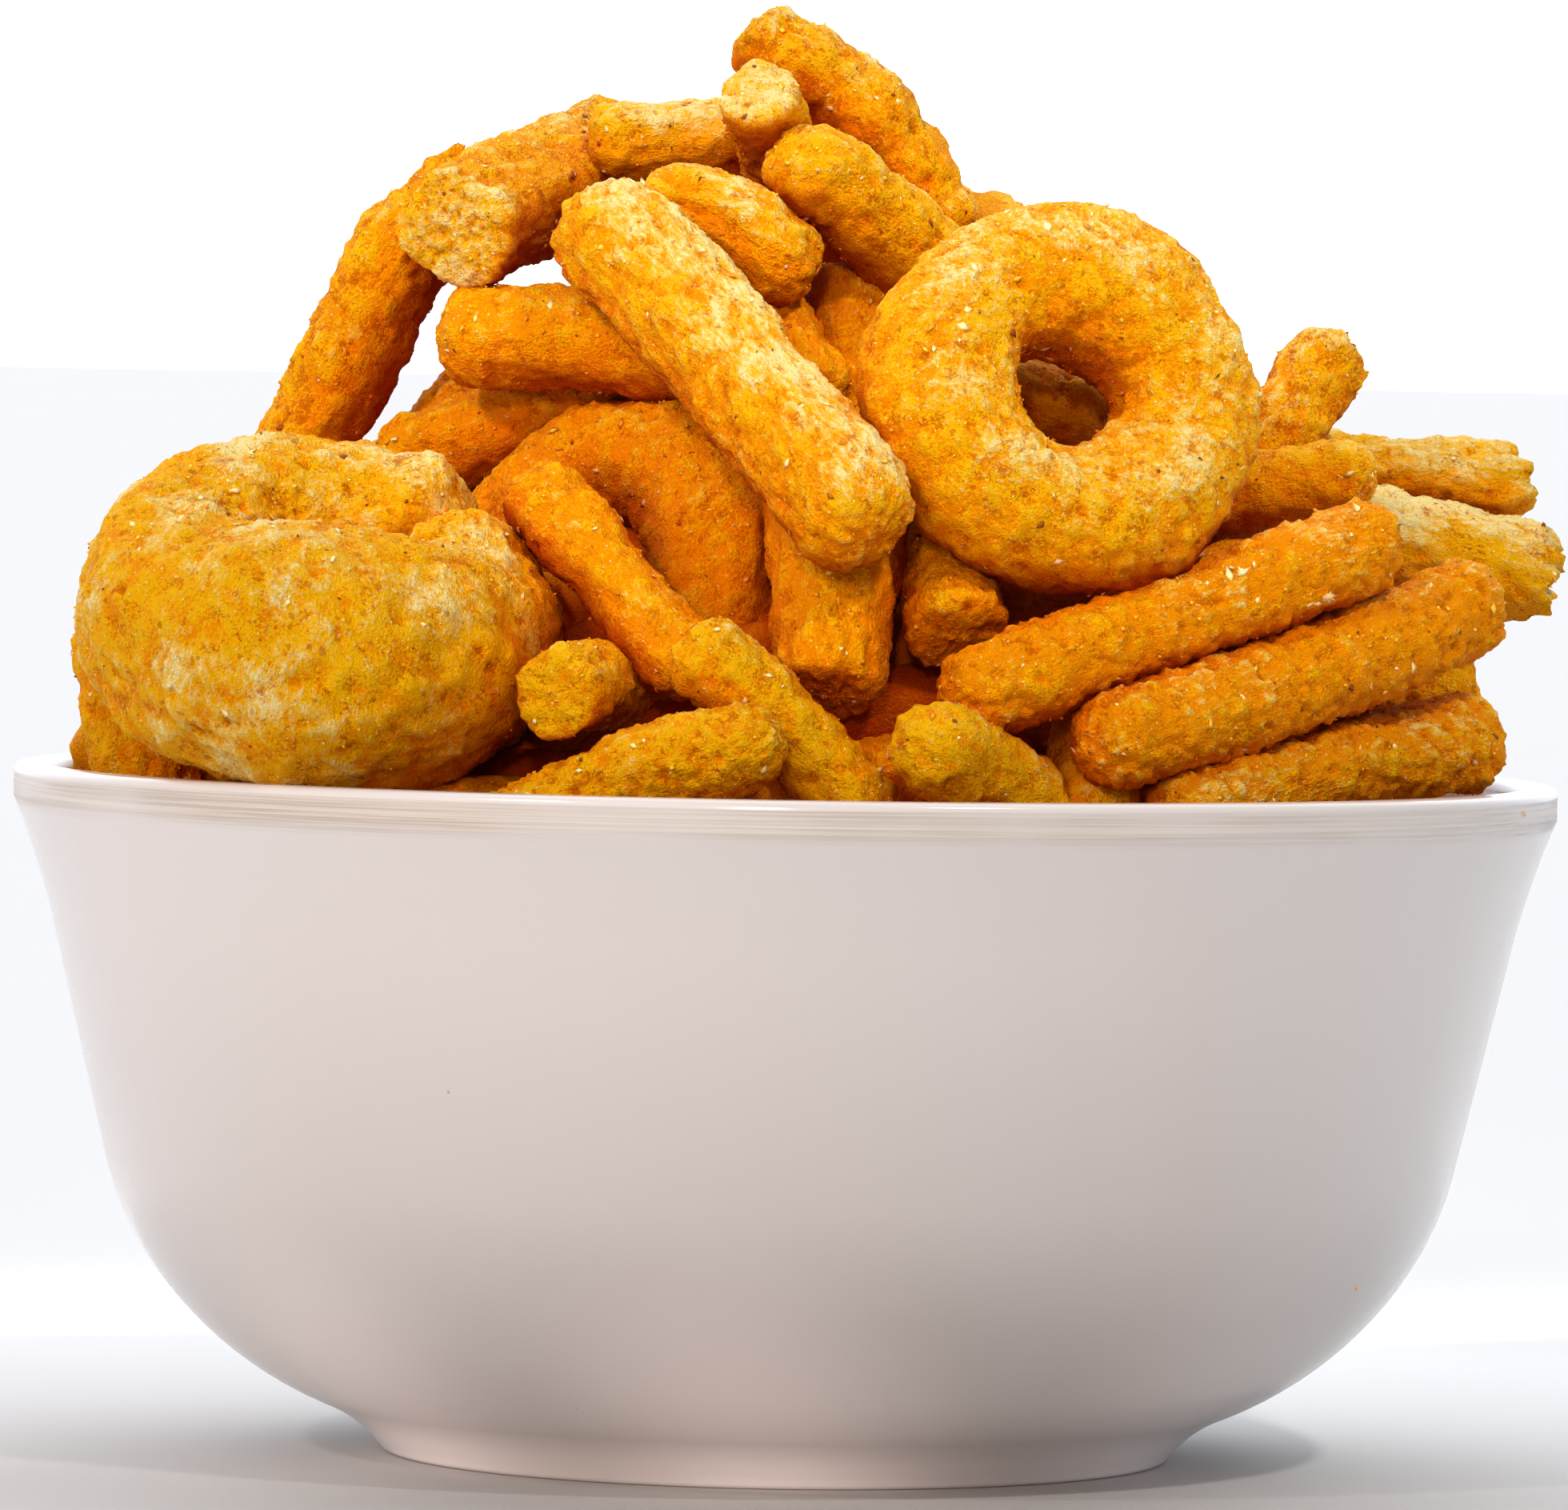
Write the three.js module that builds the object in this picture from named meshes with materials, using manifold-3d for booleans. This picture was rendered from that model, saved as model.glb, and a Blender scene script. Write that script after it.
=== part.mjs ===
// A round white bowl heaped with seasoned corn puffs: extruded sticks and rings.
// Millimetres, +Z up. The origin is the centre of the foot's underside, and the side shown
// in the photograph faces -Y, with its right hand along +X.
import * as THREE from "three";
import { mergeVertices } from "three/addons/utils/BufferGeometryUtils.js";
import Module from "manifold-3d";

// ---- driving dimensions -------------------------------------------------------------------

const BOWL = {
  rimRadius: 70, // outside of the rim's band
  height: 62,
  wall: 3.5, // thickness of the rim and the upper wall
  bandHeight: 3, // the upright, trimmed band under the rim's edge
  edgeRound: 0.9, // rounding of the rim's two edges
  kinkRadius: 66.5, // where the flared lip meets the straight wall
  kinkHeight: 48.8,
  haunchRadius: 61.2, // where the straight wall turns into the haunch
  haunchHeight: 26.5,
  undersideRadius: 41.8, // where the haunch ends, over the foot
  undersideHeight: 4.7,
  neckRadius: 37.2, // top of the foot
  neckHeight: 1.9,
  footRadius: 35.6, // outside of the face that it stands on
  footWidth: 3.6,
  footEdge: 0.7, // rounding of the foot's outer edge
  recess: 1.5, // the underside inside the foot ring stands this high
  floorHeight: 5, // inner floor at the middle
  floorRadius: 30, // where the inner wall runs out into the floor
  turns: 44, // flats round the bowl
};

const HEAP = {
  clearance: 0.35, // gap kept between the heap and the bowl
  fillHeight: 50, // the core meets the wall up to here
  coreCentre: 50, // the core's dome is half an ellipsoid about this height
  coreRadius: 46,
  coreRise: 38,
  coreSides: 24,
};

const PUFF = {
  sides: 7, // flats round a stick or a ring's tube
  looseSides: 6, // the same for those round the back
  fatter: 1.05, // a facet lies inside its circle, so the solids are a little fatter
  ringSteps: 13,
  interlock: 0.8, // how far the bumps of two touching puffs reach into each other
};

const SETTLE = {
  rounds: 80,
  step: 0.6,
  pull: 0.04, // how far a puff slides in towards the others each round
  rimTube: 1.9, // the rim as the puffs meet it: a ring of this thickness
};

// ---- the puffs ----------------------------------------------------------------------------

// Sticks that show in the photograph: the centres of both ends, the diameter, how far the
// middle bows out (x, y, z), and the shape of the two ends.
const SHOWN_STICKS = [
  { from: [-15.7, -25, 110], to: [5, -50, 87], across: 11, bow: [0.2, 0, 0.2], ends: "round round" },
  { from: [-10.5, -13, 112.5], to: [-1.5, -15, 108.5], across: 8, bow: [0.5, 0, 0.7], ends: "round round" },
  { from: [-16, 1, 119], to: [-5, 3, 119], across: 7, bow: [0, 0, 0], ends: "round round" },
  { from: [-29.5, -16, 111], to: [-17.5, 9, 117], across: 10.4, bow: [0, 0, 0.3], ends: "cut cut" },
  { from: [-32.3, -5, 114.5], to: [-51, -4, 76], across: 9, bow: [-0.3, 0, 0.3], ends: "tip round" },
  { from: [-28, -14, 101], to: [-9.5, -20, 100], across: 9, bow: [0, 0, 0.6], ends: "round round" },
  { from: [-36, -6, 86.5], to: [-26, -2, 98.5], across: 8.6, bow: [0, 0, 0], ends: "round round" },
  { from: [-33, -8, 90], to: [-17, -13, 96], across: 8.2, bow: [0, 0, 0.4], ends: "round round" },
  { from: [-21.5, -32, 86.5], to: [-9, -44, 73], across: 7, bow: [0, 0, 0], ends: "round round" },
  { from: [-19.5, -54, 70.3], to: [-14, -40, 71], across: 7.8, bow: [0, 0, 0], ends: "cut round" },
  { from: [-6.3, -54, 73.5], to: [6, -52, 61.5], across: 7.4, bow: [0, 0, 0], ends: "round round" },
  { from: [-23.5, -54, 58], to: [-3.6, -59, 66.3], across: 7.8, bow: [0, 0, 0.7], ends: "round round" },
  { from: [4.3, -37, 86], to: [3.7, -47, 72.6], across: 11.2, bow: [0, 0, 0], ends: "round cut" },
  { from: [12.5, -32, 86], to: [14.6, -44, 77], across: 8.7, bow: [0, 0, 0], ends: "round cut" },
  { from: [16.8, -52, 71], to: [50, -34, 83.8], across: 8.1, bow: [0, 0, -0.4], ends: "round round" },
  { from: [29.3, -50, 67], to: [59.3, -26, 78], across: 8.9, bow: [0, 0, -0.5], ends: "round round" },
  { from: [35, -46, 60.5], to: [60.2, -22, 66.3], across: 8.1, bow: [0, 0, 0.8], ends: "round cut" },
  { from: [12.8, -58, 66], to: [21, -48, 61.5], across: 8, bow: [0, 0, 0], ends: "round round" },
  { from: [-2, 0, 127.3], to: [12.3, -1, 113], across: 8.2, bow: [1.6, 0, 1], ends: "round round" },
  { from: [-3.3, -9, 122.8], to: [0, 4, 112], across: 7, bow: [0, 0, 0], ends: "cut round" },
  { from: [1.3, -14, 116.3], to: [12.3, -8, 108], across: 8.8, bow: [0, 0, 0.5], ends: "round round" },
  { from: [5.4, -13, 104], to: [4.3, -19, 91.5], across: 8.8, bow: [-0.4, 0, 0], ends: "round round" },
  { from: [38.5, -14, 84], to: [48, -6, 99.2], across: 7.6, bow: [-0.4, 0, 0.3], ends: "round round" },
  { from: [36.5, -18, 86.5], to: [49.3, -20, 89.7], across: 6.6, bow: [0, 0, 0.4], ends: "round round" },
  { from: [37.5, 4, 90.4], to: [64.5, 10, 89.2], across: 7, bow: [0, 0, 0.4], ends: "round cut" },
  { from: [47.3, -2, 84.7], to: [65, 3, 81.5], across: 8.6, bow: [0, 0, 0.6], ends: "round tip" },
  { from: [41, -14, 71.5], to: [59.3, -6, 71], across: 7.6, bow: [0, 0, 0], ends: "round cut" },
  { from: [-59.5, -13, 72], to: [-56, -14, 53], across: 9.6, bow: [0, 0, 0], ends: "cut round" },
  { from: [-61.3, 8, 77.2], to: [-44.5, 12, 75.5], across: 7, bow: [0, 0, 0], ends: "cut round" },
  { from: [20.5, -30, 77], to: [40.5, -24, 79.5], across: 9, bow: [0, 0, 0], ends: "round round" },
  { from: [22, -38, 61], to: [32, -40, 59.5], across: 7.4, bow: [0, 0, 0], ends: "round round" },
  { from: [17, -34, 66.4], to: [33, -32, 68.3], across: 8.4, bow: [0, 0, 0], ends: "round round" },
  { from: [0.5, -43, 62], to: [9.3, -42, 63.5], across: 7.6, bow: [0, 0, 0], ends: "round round" },
  { from: [17, -22, 98], to: [34.5, -21, 91], across: 7.4, bow: [0, 0, 0], ends: "round round" },
  { from: [-6.7, -8, 108], to: [0.6, -17, 97.3], across: 8.2, bow: [0, 0, 0], ends: "round round" },
];

// Rings that show in the photograph: centre, the way the hole points, outer diameter and
// tube diameter. The first is the fat one on the left, whose hole has almost closed.
const SHOWN_RINGS = [
  { centre: [-41.3, -34, 75.9], hole: [0.12, -0.42, 0.9], outer: 42, tube: 20.4 },
  { centre: [23.8, -38, 96.2], hole: [0.3, -0.86, 0.4], outer: 36, tube: 13.3 },
  { centre: [-15.3, -27, 79], hole: [-0.6, -0.75, 0.3], outer: 36, tube: 12.4 },
];

// Loose puffs prop up the peak from behind and close the heap all round.
const PROP_STICKS = [
  { from: [-14, 12, 106], to: [8, 22, 100], across: 10, bow: [0, 0, 0.8], ends: "round round" },
  { from: [14, 8, 108], to: [26, -6, 98], across: 9.4, bow: [0, 0, 0.6], ends: "round cut" },
  { from: [-2, 14, 113], to: [16, 20, 96], across: 8.6, bow: [0, 0.8, 0], ends: "cut round" },
  { from: [27, 6, 99], to: [40, -8, 92], across: 9, bow: [0, 0, 0], ends: "round round" },
];

// Rows of loose puffs, the first in the bowl under the near side and the others up the far
// side from the rim to the top: height, distance from the axis, the arc that they cover
// (degrees round from +X) and how many there are.
const LOOSE_ROWS = [
  { height: 54, reach: 52, start: 188, end: 352, count: 8 },
  { height: 64, reach: 54, start: 4, end: 176, count: 8 },
  { height: 74, reach: 47, start: 14, end: 166, count: 6 },
  { height: 84, reach: 35, start: 20, end: 158, count: 5 },
  { height: 94, reach: 21, start: 30, end: 150, count: 3 },
  { height: 101, reach: 6, start: 80, end: 100, count: 1 },
];
const LOOSE = {
  seed: 20411,
  shortest: 20, // between the centres of the two ends
  longest: 33,
  thinnest: 7.6,
  thickest: 11.6,
  ringEvery: 4, // each fourth loose puff is a ring
  ringOuter: 35,
  ringTube: 13,
  leanOut: 0.25, // how far a stick's own direction leaves the heap's surface
};

// A repeatable stream of numbers from 0 to 1 (Park and Miller's generator).
function drawsFrom(seed) {
  let state = seed;
  return () => {
    state = (state * 16807) % 2147483647;
    return state / 2147483647;
  };
}

function loosePuffs() {
  const draw = drawsFrom(LOOSE.seed);
  const puffs = [];
  for (const row of LOOSE_ROWS) {
    for (let i = 0; i < row.count; i += 1) {
      const share = (i + 0.2 + 0.6 * draw()) / row.count;
      const round = ((row.start + share * (row.end - row.start)) * Math.PI) / 180;
      const height = row.height + 4 * (draw() - 0.5);
      const turn = (draw() - 0.5) * Math.PI * 0.95;
      const lean = (draw() - 0.5) * 2 * LOOSE.leanOut;
      const length = LOOSE.shortest + (LOOSE.longest - LOOSE.shortest) * draw();
      const across = LOOSE.thinnest + (LOOSE.thickest - LOOSE.thinnest) * draw();
      const bow = 2 * (draw() - 0.5);
      const centre = [row.reach * Math.cos(round), row.reach * Math.sin(round), height];
      const slope = Math.atan2(height - HEAP.coreCentre, row.reach);
      const outward = [
        Math.cos(round) * Math.cos(slope),
        Math.sin(round) * Math.cos(slope),
        Math.sin(slope),
      ];
      const sideways = [-Math.sin(round), Math.cos(round), 0];
      const downhill = [
        Math.cos(round) * Math.sin(slope),
        Math.sin(round) * Math.sin(slope),
        -Math.cos(slope),
      ];
      const along = [0, 1, 2].map(
        (k) => sideways[k] * Math.cos(turn) + downhill[k] * Math.sin(turn) + outward[k] * lean,
      );
      if (puffs.length % LOOSE.ringEvery === LOOSE.ringEvery - 2) {
        const hole = [0, 1, 2].map((k) => outward[k] + 0.5 * along[k]);
        puffs.push({ centre, hole, outer: LOOSE.ringOuter + bow, tube: LOOSE.ringTube + bow });
      } else {
        const reach = length / 2 / Math.hypot(...along);
        puffs.push({
          from: centre.map((c, k) => c - along[k] * reach),
          to: centre.map((c, k) => c + along[k] * reach),
          across,
          bow: outward.map((o) => o * bow),
          ends: across > 10.4 ? "round cut" : "round round",
        });
      }
    }
  }
  return puffs;
}

// ---- how the puffs come to rest against each other ----------------------------------------

const vector = (a) => new THREE.Vector3(...a);
const isRing = (puff) => puff.tube !== undefined;

// A point on a bowed stick's centre line, t from 0 to 1.
function centreLine(puff, t) {
  return vector(puff.from)
    .lerp(vector(puff.to), t)
    .addScaledVector(vector(puff.bow), 4 * t * (1 - t));
}

function ringFrame(puff) {
  return new THREE.Quaternion().setFromUnitVectors(
    new THREE.Vector3(0, 0, 1),
    vector(puff.hole).normalize(),
  );
}

// The puff as a row of balls, for telling where two puffs touch.
function ballsOf(puff) {
  if (isRing(puff)) {
    const radius = puff.tube / 2;
    const turn = ringFrame(puff);
    return Array.from({ length: 12 }, (_, i) => {
      const angle = (i * Math.PI) / 6;
      const at = new THREE.Vector3(Math.cos(angle), Math.sin(angle), 0)
        .multiplyScalar(puff.outer / 2 - radius)
        .applyQuaternion(turn)
        .add(vector(puff.centre));
      return { at, radius };
    });
  }
  const radius = puff.across / 2;
  const length = vector(puff.from).distanceTo(vector(puff.to));
  const last = Math.ceil(length / (0.8 * radius));
  return Array.from({ length: last + 1 }, (_, i) => ({ at: centreLine(puff, i / last), radius }));
}

// Which way the bowl's wall or rim pushes a ball, and how far.
function pushFromBowl(at, radius) {
  const push = new THREE.Vector3();
  const out = Math.hypot(at.x, at.y);
  const radial = new THREE.Vector3(at.x, at.y, 0).divideScalar(Math.max(out, 1e-6));
  const rimMiddle = BOWL.rimRadius - BOWL.wall / 2;
  const rimLevel = BOWL.height - SETTLE.rimTube;
  if (at.z < rimLevel) {
    const climb = Math.max(0, at.z - BOWL.haunchHeight) / (BOWL.height - BOWL.haunchHeight);
    const inside = BOWL.haunchRadius + climb * (BOWL.rimRadius - BOWL.haunchRadius) - BOWL.wall;
    const over = out + radius + HEAP.clearance - inside;
    if (over > 0) push.addScaledVector(radial, -over);
  } else {
    const away = new THREE.Vector3().copy(at).addScaledVector(radial, -rimMiddle);
    away.z -= rimLevel;
    const gap = away.length();
    const over = radius + SETTLE.rimTube + HEAP.clearance - gap;
    if (over > 0) push.addScaledVector(away, over / gap);
  }
  return push;
}

// The same for the core, which loose puffs lie on.
function pushFromCore(at, radius) {
  const push = new THREE.Vector3();
  const domed = new THREE.Vector3(
    at.x / HEAP.coreRadius,
    at.y / HEAP.coreRadius,
    (at.z - HEAP.coreCentre) / HEAP.coreRise,
  );
  const level = domed.length();
  const sunk = (1 - level) * HEAP.coreRise + radius * 0.4;
  if (at.z > HEAP.coreCentre && sunk > 0) {
    push.addScaledVector(new THREE.Vector3(at.x, at.y, at.z - HEAP.coreCentre).normalize(), sunk);
  }
  return push;
}

function shift(puff, move) {
  const step = move.toArray();
  for (const key of isRing(puff) ? ["centre"] : ["from", "to"]) {
    puff[key] = puff[key].map((value, k) => value + step[k]);
  }
}

// Puffs that overlap push each other apart, the bowl and the core push them out, and loose
// ones slide in and down. Those placed from the photograph only shift along Y, and loose
// ones make way for them.
function settle(shown, loose) {
  const puffs = [...shown, ...loose].map((puff) => structuredClone(puff));
  for (let round = 0; round < SETTLE.rounds; round += 1) {
    const balls = puffs.map(ballsOf);
    const moves = puffs.map((_, a) => {
      const move = new THREE.Vector3();
      let touches = 0;
      for (const ball of balls[a]) {
        const push = pushFromBowl(ball.at, ball.radius);
        if (a >= shown.length) push.add(pushFromCore(ball.at, ball.radius));
        if (push.length() > 0) {
          move.add(push);
          touches += 1;
        }
        for (let b = 0; b < (a < shown.length ? shown.length : puffs.length); b += 1) {
          if (b === a) continue;
          for (const other of balls[b]) {
            const apart = new THREE.Vector3().subVectors(ball.at, other.at);
            const gap = Math.max(apart.length(), 1e-6);
            const over = ball.radius + other.radius - PUFF.interlock - gap;
            if (over > 0) {
              move.addScaledVector(apart, over / gap);
              touches += 1;
            }
          }
        }
      }
      move.multiplyScalar(SETTLE.step / Math.max(touches, 1));
      const ball = balls[a][Math.floor(balls[a].length / 2)];
      if (a < shown.length) {
        const back = THREE.MathUtils.clamp(-ball.at.y / 20, -1, 1);
        move.set(0, move.y + SETTLE.pull * back, 0);
      } else {
        const inward = new THREE.Vector3(-ball.at.x, -ball.at.y, -ball.at.z / 2).normalize();
        move.addScaledVector(inward, SETTLE.pull);
      }
      return move;
    });
    puffs.forEach((puff, a) => shift(puff, moves[a]));
  }
  return puffs;
}

// ---- shapes -------------------------------------------------------------------------------

// The share of a stick's full radius at share s (0 to 1) of its end, and the end's length
// in radii.
const END_SHAPES = {
  round: { length: 1, at: (s) => Math.sqrt(1 - (1 - s) ** 2) },
  cut: { length: 0.55, at: (s) => (1 - (1 - s) ** 4) ** 0.25 },
  tip: { length: 1.6, at: (s) => s ** 0.55 },
};

function stickGeometry(puff, sides) {
  const radius = (puff.across / 2) * PUFF.fatter;
  const axis = vector(puff.to).sub(vector(puff.from));
  const length = axis.length();
  const [first, last] = puff.ends.split(" ").map((name) => END_SHAPES[name]);
  const start = -radius * Math.min(first.length, 1);
  const end = length + radius * Math.min(last.length, 1);
  const outline = [new THREE.Vector2(0, start)];
  for (const s of [0.25, 1]) {
    outline.push(new THREE.Vector2(radius * first.at(s), start + s * radius * first.length));
  }
  for (const t of [0.35, 0.65]) {
    outline.push(new THREE.Vector2(radius, length * t));
  }
  for (const s of [1, 0.25]) {
    outline.push(new THREE.Vector2(radius * last.at(s), end - s * radius * last.length));
  }
  outline.push(new THREE.Vector2(0, end));
  const geometry = new THREE.LatheGeometry(outline, sides);
  const upright = new THREE.Quaternion().setFromUnitVectors(
    new THREE.Vector3(0, 1, 0),
    axis.clone().normalize(),
  );
  const place = geometry.attributes.position;
  for (let i = 0; i < place.count; i += 1) {
    const at = new THREE.Vector3().fromBufferAttribute(place, i);
    const t = THREE.MathUtils.clamp(at.y / length, 0, 1);
    at.applyQuaternion(upright)
      .add(vector(puff.from))
      .addScaledVector(vector(puff.bow), 4 * t * (1 - t));
    place.setXYZ(i, at.x, at.y, at.z);
  }
  return geometry;
}

function ringGeometry(puff, sides) {
  const radius = (puff.tube / 2) * PUFF.fatter;
  return new THREE.TorusGeometry(puff.outer / 2 - puff.tube / 2, radius, sides, PUFF.ringSteps)
    .applyQuaternion(ringFrame(puff))
    .translate(...puff.centre);
}

// The bowl's outside, from the foot's face up to the rim's top, as lines and curves.
function outsidePath(path) {
  path.lineTo(BOWL.footRadius - BOWL.footEdge, 0);
  path.quadraticCurveTo(BOWL.footRadius, 0, BOWL.footRadius + 0.4, BOWL.footEdge);
  path.lineTo(BOWL.neckRadius, BOWL.neckHeight);
  path.quadraticCurveTo(38.9, 3.6, BOWL.undersideRadius, BOWL.undersideHeight);
  path.bezierCurveTo(51.8, 8.9, 59, 17.5, BOWL.haunchRadius, BOWL.haunchHeight);
  path.lineTo(BOWL.kinkRadius, BOWL.kinkHeight);
  path.quadraticCurveTo(68.1, 54.6, BOWL.rimRadius, BOWL.height - BOWL.bandHeight);
  path.lineTo(BOWL.rimRadius, BOWL.height - BOWL.edgeRound);
  path.quadraticCurveTo(BOWL.rimRadius, BOWL.height, BOWL.rimRadius - BOWL.edgeRound, BOWL.height);
}

// The bowl's inside, from the rim's top down to the middle of the floor, grown inwards by
// `gap`, which the heap keeps clear of it.
function insidePath(path, gap) {
  const lip = BOWL.rimRadius - BOWL.wall - gap;
  path.lineTo(lip + BOWL.edgeRound, BOWL.height + gap);
  path.quadraticCurveTo(lip, BOWL.height + gap, lip, BOWL.height - 1.5 * BOWL.edgeRound);
  path.lineTo(BOWL.kinkRadius - BOWL.wall - gap, BOWL.kinkHeight);
  path.lineTo(BOWL.haunchRadius - BOWL.wall - gap, BOWL.haunchHeight);
  path.bezierCurveTo(55.4 - gap, 17, 45, BOWL.floorHeight + 1.8 + gap, BOWL.floorRadius, BOWL.floorHeight + gap);
  path.lineTo(0, BOWL.floorHeight + gap);
}

const CURVE_STEPS = 4;

function turned(path, flats) {
  return new THREE.LatheGeometry(path.getPoints(CURVE_STEPS), flats).rotateX(Math.PI / 2);
}

function bowlGeometry() {
  const innerFoot = BOWL.footRadius - BOWL.footEdge - BOWL.footWidth;
  const path = new THREE.Path();
  path.moveTo(0, BOWL.recess);
  path.lineTo(innerFoot - BOWL.recess, BOWL.recess);
  path.lineTo(innerFoot, 0);
  outsidePath(path);
  insidePath(path, 0);
  return turned(path, BOWL.turns);
}

// The space that the bowl's wall and rim take up, grown by the clearance, for trimming the
// heap. Its far side lies outside the bowl.
function keepOutGeometry() {
  const path = new THREE.Path();
  const outer = BOWL.rimRadius + HEAP.clearance;
  path.moveTo(0, -2);
  path.lineTo(outer, -2);
  path.lineTo(outer, BOWL.height - BOWL.edgeRound);
  path.quadraticCurveTo(
    outer,
    BOWL.height + HEAP.clearance,
    BOWL.rimRadius - BOWL.edgeRound,
    BOWL.height + HEAP.clearance,
  );
  insidePath(path, HEAP.clearance);
  return turned(path, BOWL.turns);
}

// The bare core: it fills the bowl up to the fill height and rises in a dome under the puffs.
function coreGeometry() {
  const gap = 2 * HEAP.clearance;
  const path = new THREE.Path();
  path.moveTo(0, BOWL.floorHeight + gap);
  path.lineTo(BOWL.floorRadius, BOWL.floorHeight + gap);
  path.bezierCurveTo(
    44,
    BOWL.floorHeight + 2 + gap,
    55 - gap,
    18,
    BOWL.haunchRadius - BOWL.wall - gap,
    BOWL.haunchHeight,
  );
  path.lineTo(BOWL.kinkRadius - BOWL.wall - gap, BOWL.kinkHeight);
  path.lineTo(62, HEAP.fillHeight);
  const steps = 5;
  for (let i = 1; i <= steps; i += 1) {
    const angle = (i / steps) * (Math.PI / 2);
    path.lineTo(
      HEAP.coreRadius * Math.cos(angle) * (i < steps ? 1 : 0),
      HEAP.coreCentre + HEAP.coreRise * Math.max(Math.sin(angle), 0.2),
    );
  }
  return turned(path, HEAP.coreSides);
}

// ---- solids -------------------------------------------------------------------------------

const wasm = await Module();
wasm.setup();

function solidFrom(geometry) {
  const bare = geometry.clone();
  bare.deleteAttribute("normal");
  bare.deleteAttribute("uv");
  const merged = mergeVertices(bare, 1e-4);
  return new wasm.Manifold(
    new wasm.Mesh({
      numProp: 3,
      vertProperties: new Float32Array(merged.attributes.position.array),
      triVerts: new Uint32Array(merged.index.array),
    }),
  );
}

function geometryFrom(solid) {
  const mesh = solid.getMesh();
  const geometry = new THREE.BufferGeometry();
  geometry.setAttribute("position", new THREE.BufferAttribute(mesh.vertProperties, 3));
  geometry.setIndex(new THREE.BufferAttribute(mesh.triVerts, 1));
  geometry.computeVertexNormals();
  return geometry;
}

// The core and every puff as one solid, kept clear of the bowl. Sealed gaps between puffs
// are filled, because only the outermost skin is kept.
function heapGeometry() {
  const shown = [...SHOWN_STICKS, ...SHOWN_RINGS];
  const puffs = settle(shown, [...PROP_STICKS, ...loosePuffs()]);
  let heap = solidFrom(coreGeometry());
  puffs.forEach((puff, i) => {
    const shape = isRing(puff) ? ringGeometry : stickGeometry;
    heap = heap.add(solidFrom(shape(puff, i < shown.length ? PUFF.sides : PUFF.looseSides)));
  });
  heap = heap.subtract(solidFrom(keepOutGeometry()));
  const skins = heap.decompose().sort((a, b) => b.volume() - a.volume());
  return geometryFrom(skins[0]);
}

const glaze = new THREE.MeshStandardMaterial({ color: 0xe9e4e2, roughness: 0.28, metalness: 0 });
const crust = new THREE.MeshStandardMaterial({ color: 0xeba112, roughness: 0.85, metalness: 0 });

const bowl = new THREE.Mesh(bowlGeometry(), glaze);
bowl.name = "bowl";

const heap = new THREE.Mesh(heapGeometry(), crust);
heap.name = "puff_heap";

const part = new THREE.Group();
part.add(bowl, heap);

export default part;
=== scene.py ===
"""The looks of a round white bowl heaped with seasoned corn puffs: sticks and rings.

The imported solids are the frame. The bowl and every puff are made again here at full detail,
in the same places. Lengths are millimetres until a mesh is made.
"""
import itertools
import math

import bpy
import numpy as np
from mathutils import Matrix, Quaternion, Vector


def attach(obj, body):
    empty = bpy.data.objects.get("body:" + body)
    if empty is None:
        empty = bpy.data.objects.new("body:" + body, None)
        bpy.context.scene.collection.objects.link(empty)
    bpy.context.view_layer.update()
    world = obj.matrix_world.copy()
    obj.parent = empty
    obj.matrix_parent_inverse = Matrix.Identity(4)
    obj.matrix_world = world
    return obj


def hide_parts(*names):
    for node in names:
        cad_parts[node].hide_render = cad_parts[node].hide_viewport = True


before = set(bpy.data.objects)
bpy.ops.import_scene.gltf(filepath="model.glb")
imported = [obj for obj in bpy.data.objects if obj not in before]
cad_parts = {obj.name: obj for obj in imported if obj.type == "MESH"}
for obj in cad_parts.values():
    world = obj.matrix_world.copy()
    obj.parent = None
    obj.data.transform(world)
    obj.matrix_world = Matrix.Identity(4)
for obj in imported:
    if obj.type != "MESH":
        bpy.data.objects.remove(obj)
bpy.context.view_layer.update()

MM = 0.001

# ---- camera -------------------------------------------------------------------------------

EYE = Vector((0, -1.100, 0.100))
AIM = Vector((-0.0002, 0, 0.0636))
ROLL = math.radians(1.0)
LENS, SENSOR, VIEW_END = 278.1, 36, 100  # mm, mm and m

camera = bpy.data.objects.new("camera", bpy.data.cameras.new("camera"))
bpy.context.scene.collection.objects.link(camera)
bpy.context.scene.camera = camera
camera.data.sensor_width = SENSOR
camera.data.lens = LENS
camera.data.clip_end = VIEW_END
camera.location = EYE
camera.rotation_mode = "QUATERNION"
camera.rotation_quaternion = (AIM - EYE).to_track_quat("-Z", "Y") @ Quaternion((0, 0, 1), ROLL)

# ---- the bowl's and the heap's dimensions, as in the solids -------------------------------

RIM_RADIUS, HEIGHT, WALL, BAND_HEIGHT, EDGE_ROUND = 70, 62, 3.5, 3, 0.9
KINK_RADIUS, KINK_HEIGHT = 66.5, 48.8
HAUNCH_RADIUS, HAUNCH_HEIGHT = 61.2, 26.5
UNDERSIDE_RADIUS, UNDERSIDE_HEIGHT = 41.8, 4.7
NECK_RADIUS, NECK_HEIGHT = 37.2, 1.9
FOOT_RADIUS, FOOT_WIDTH, FOOT_EDGE, RECESS = 35.6, 3.6, 0.7, 1.5
FLOOR_HEIGHT, FLOOR_RADIUS = 5, 30
# The core that stands in for the puffs inside, and the space left between puffs and bowl.
CORE_CENTRE, CORE_RADIUS, CORE_RISE, CLEARANCE = 50, 46, 38, 0.35
# How puffs come to rest: how far two may lie into each other, how many rounds of pushing,
# the share of an overlap undone in a round, the pull inward, and the rim as a tube's radius.
INTERLOCK, ROUNDS, STEP, PULL, RIM_TUBE = 0.8, 80, 0.6, 0.04, 1.9

# ---- the puffs ----------------------------------------------------------------------------

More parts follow.
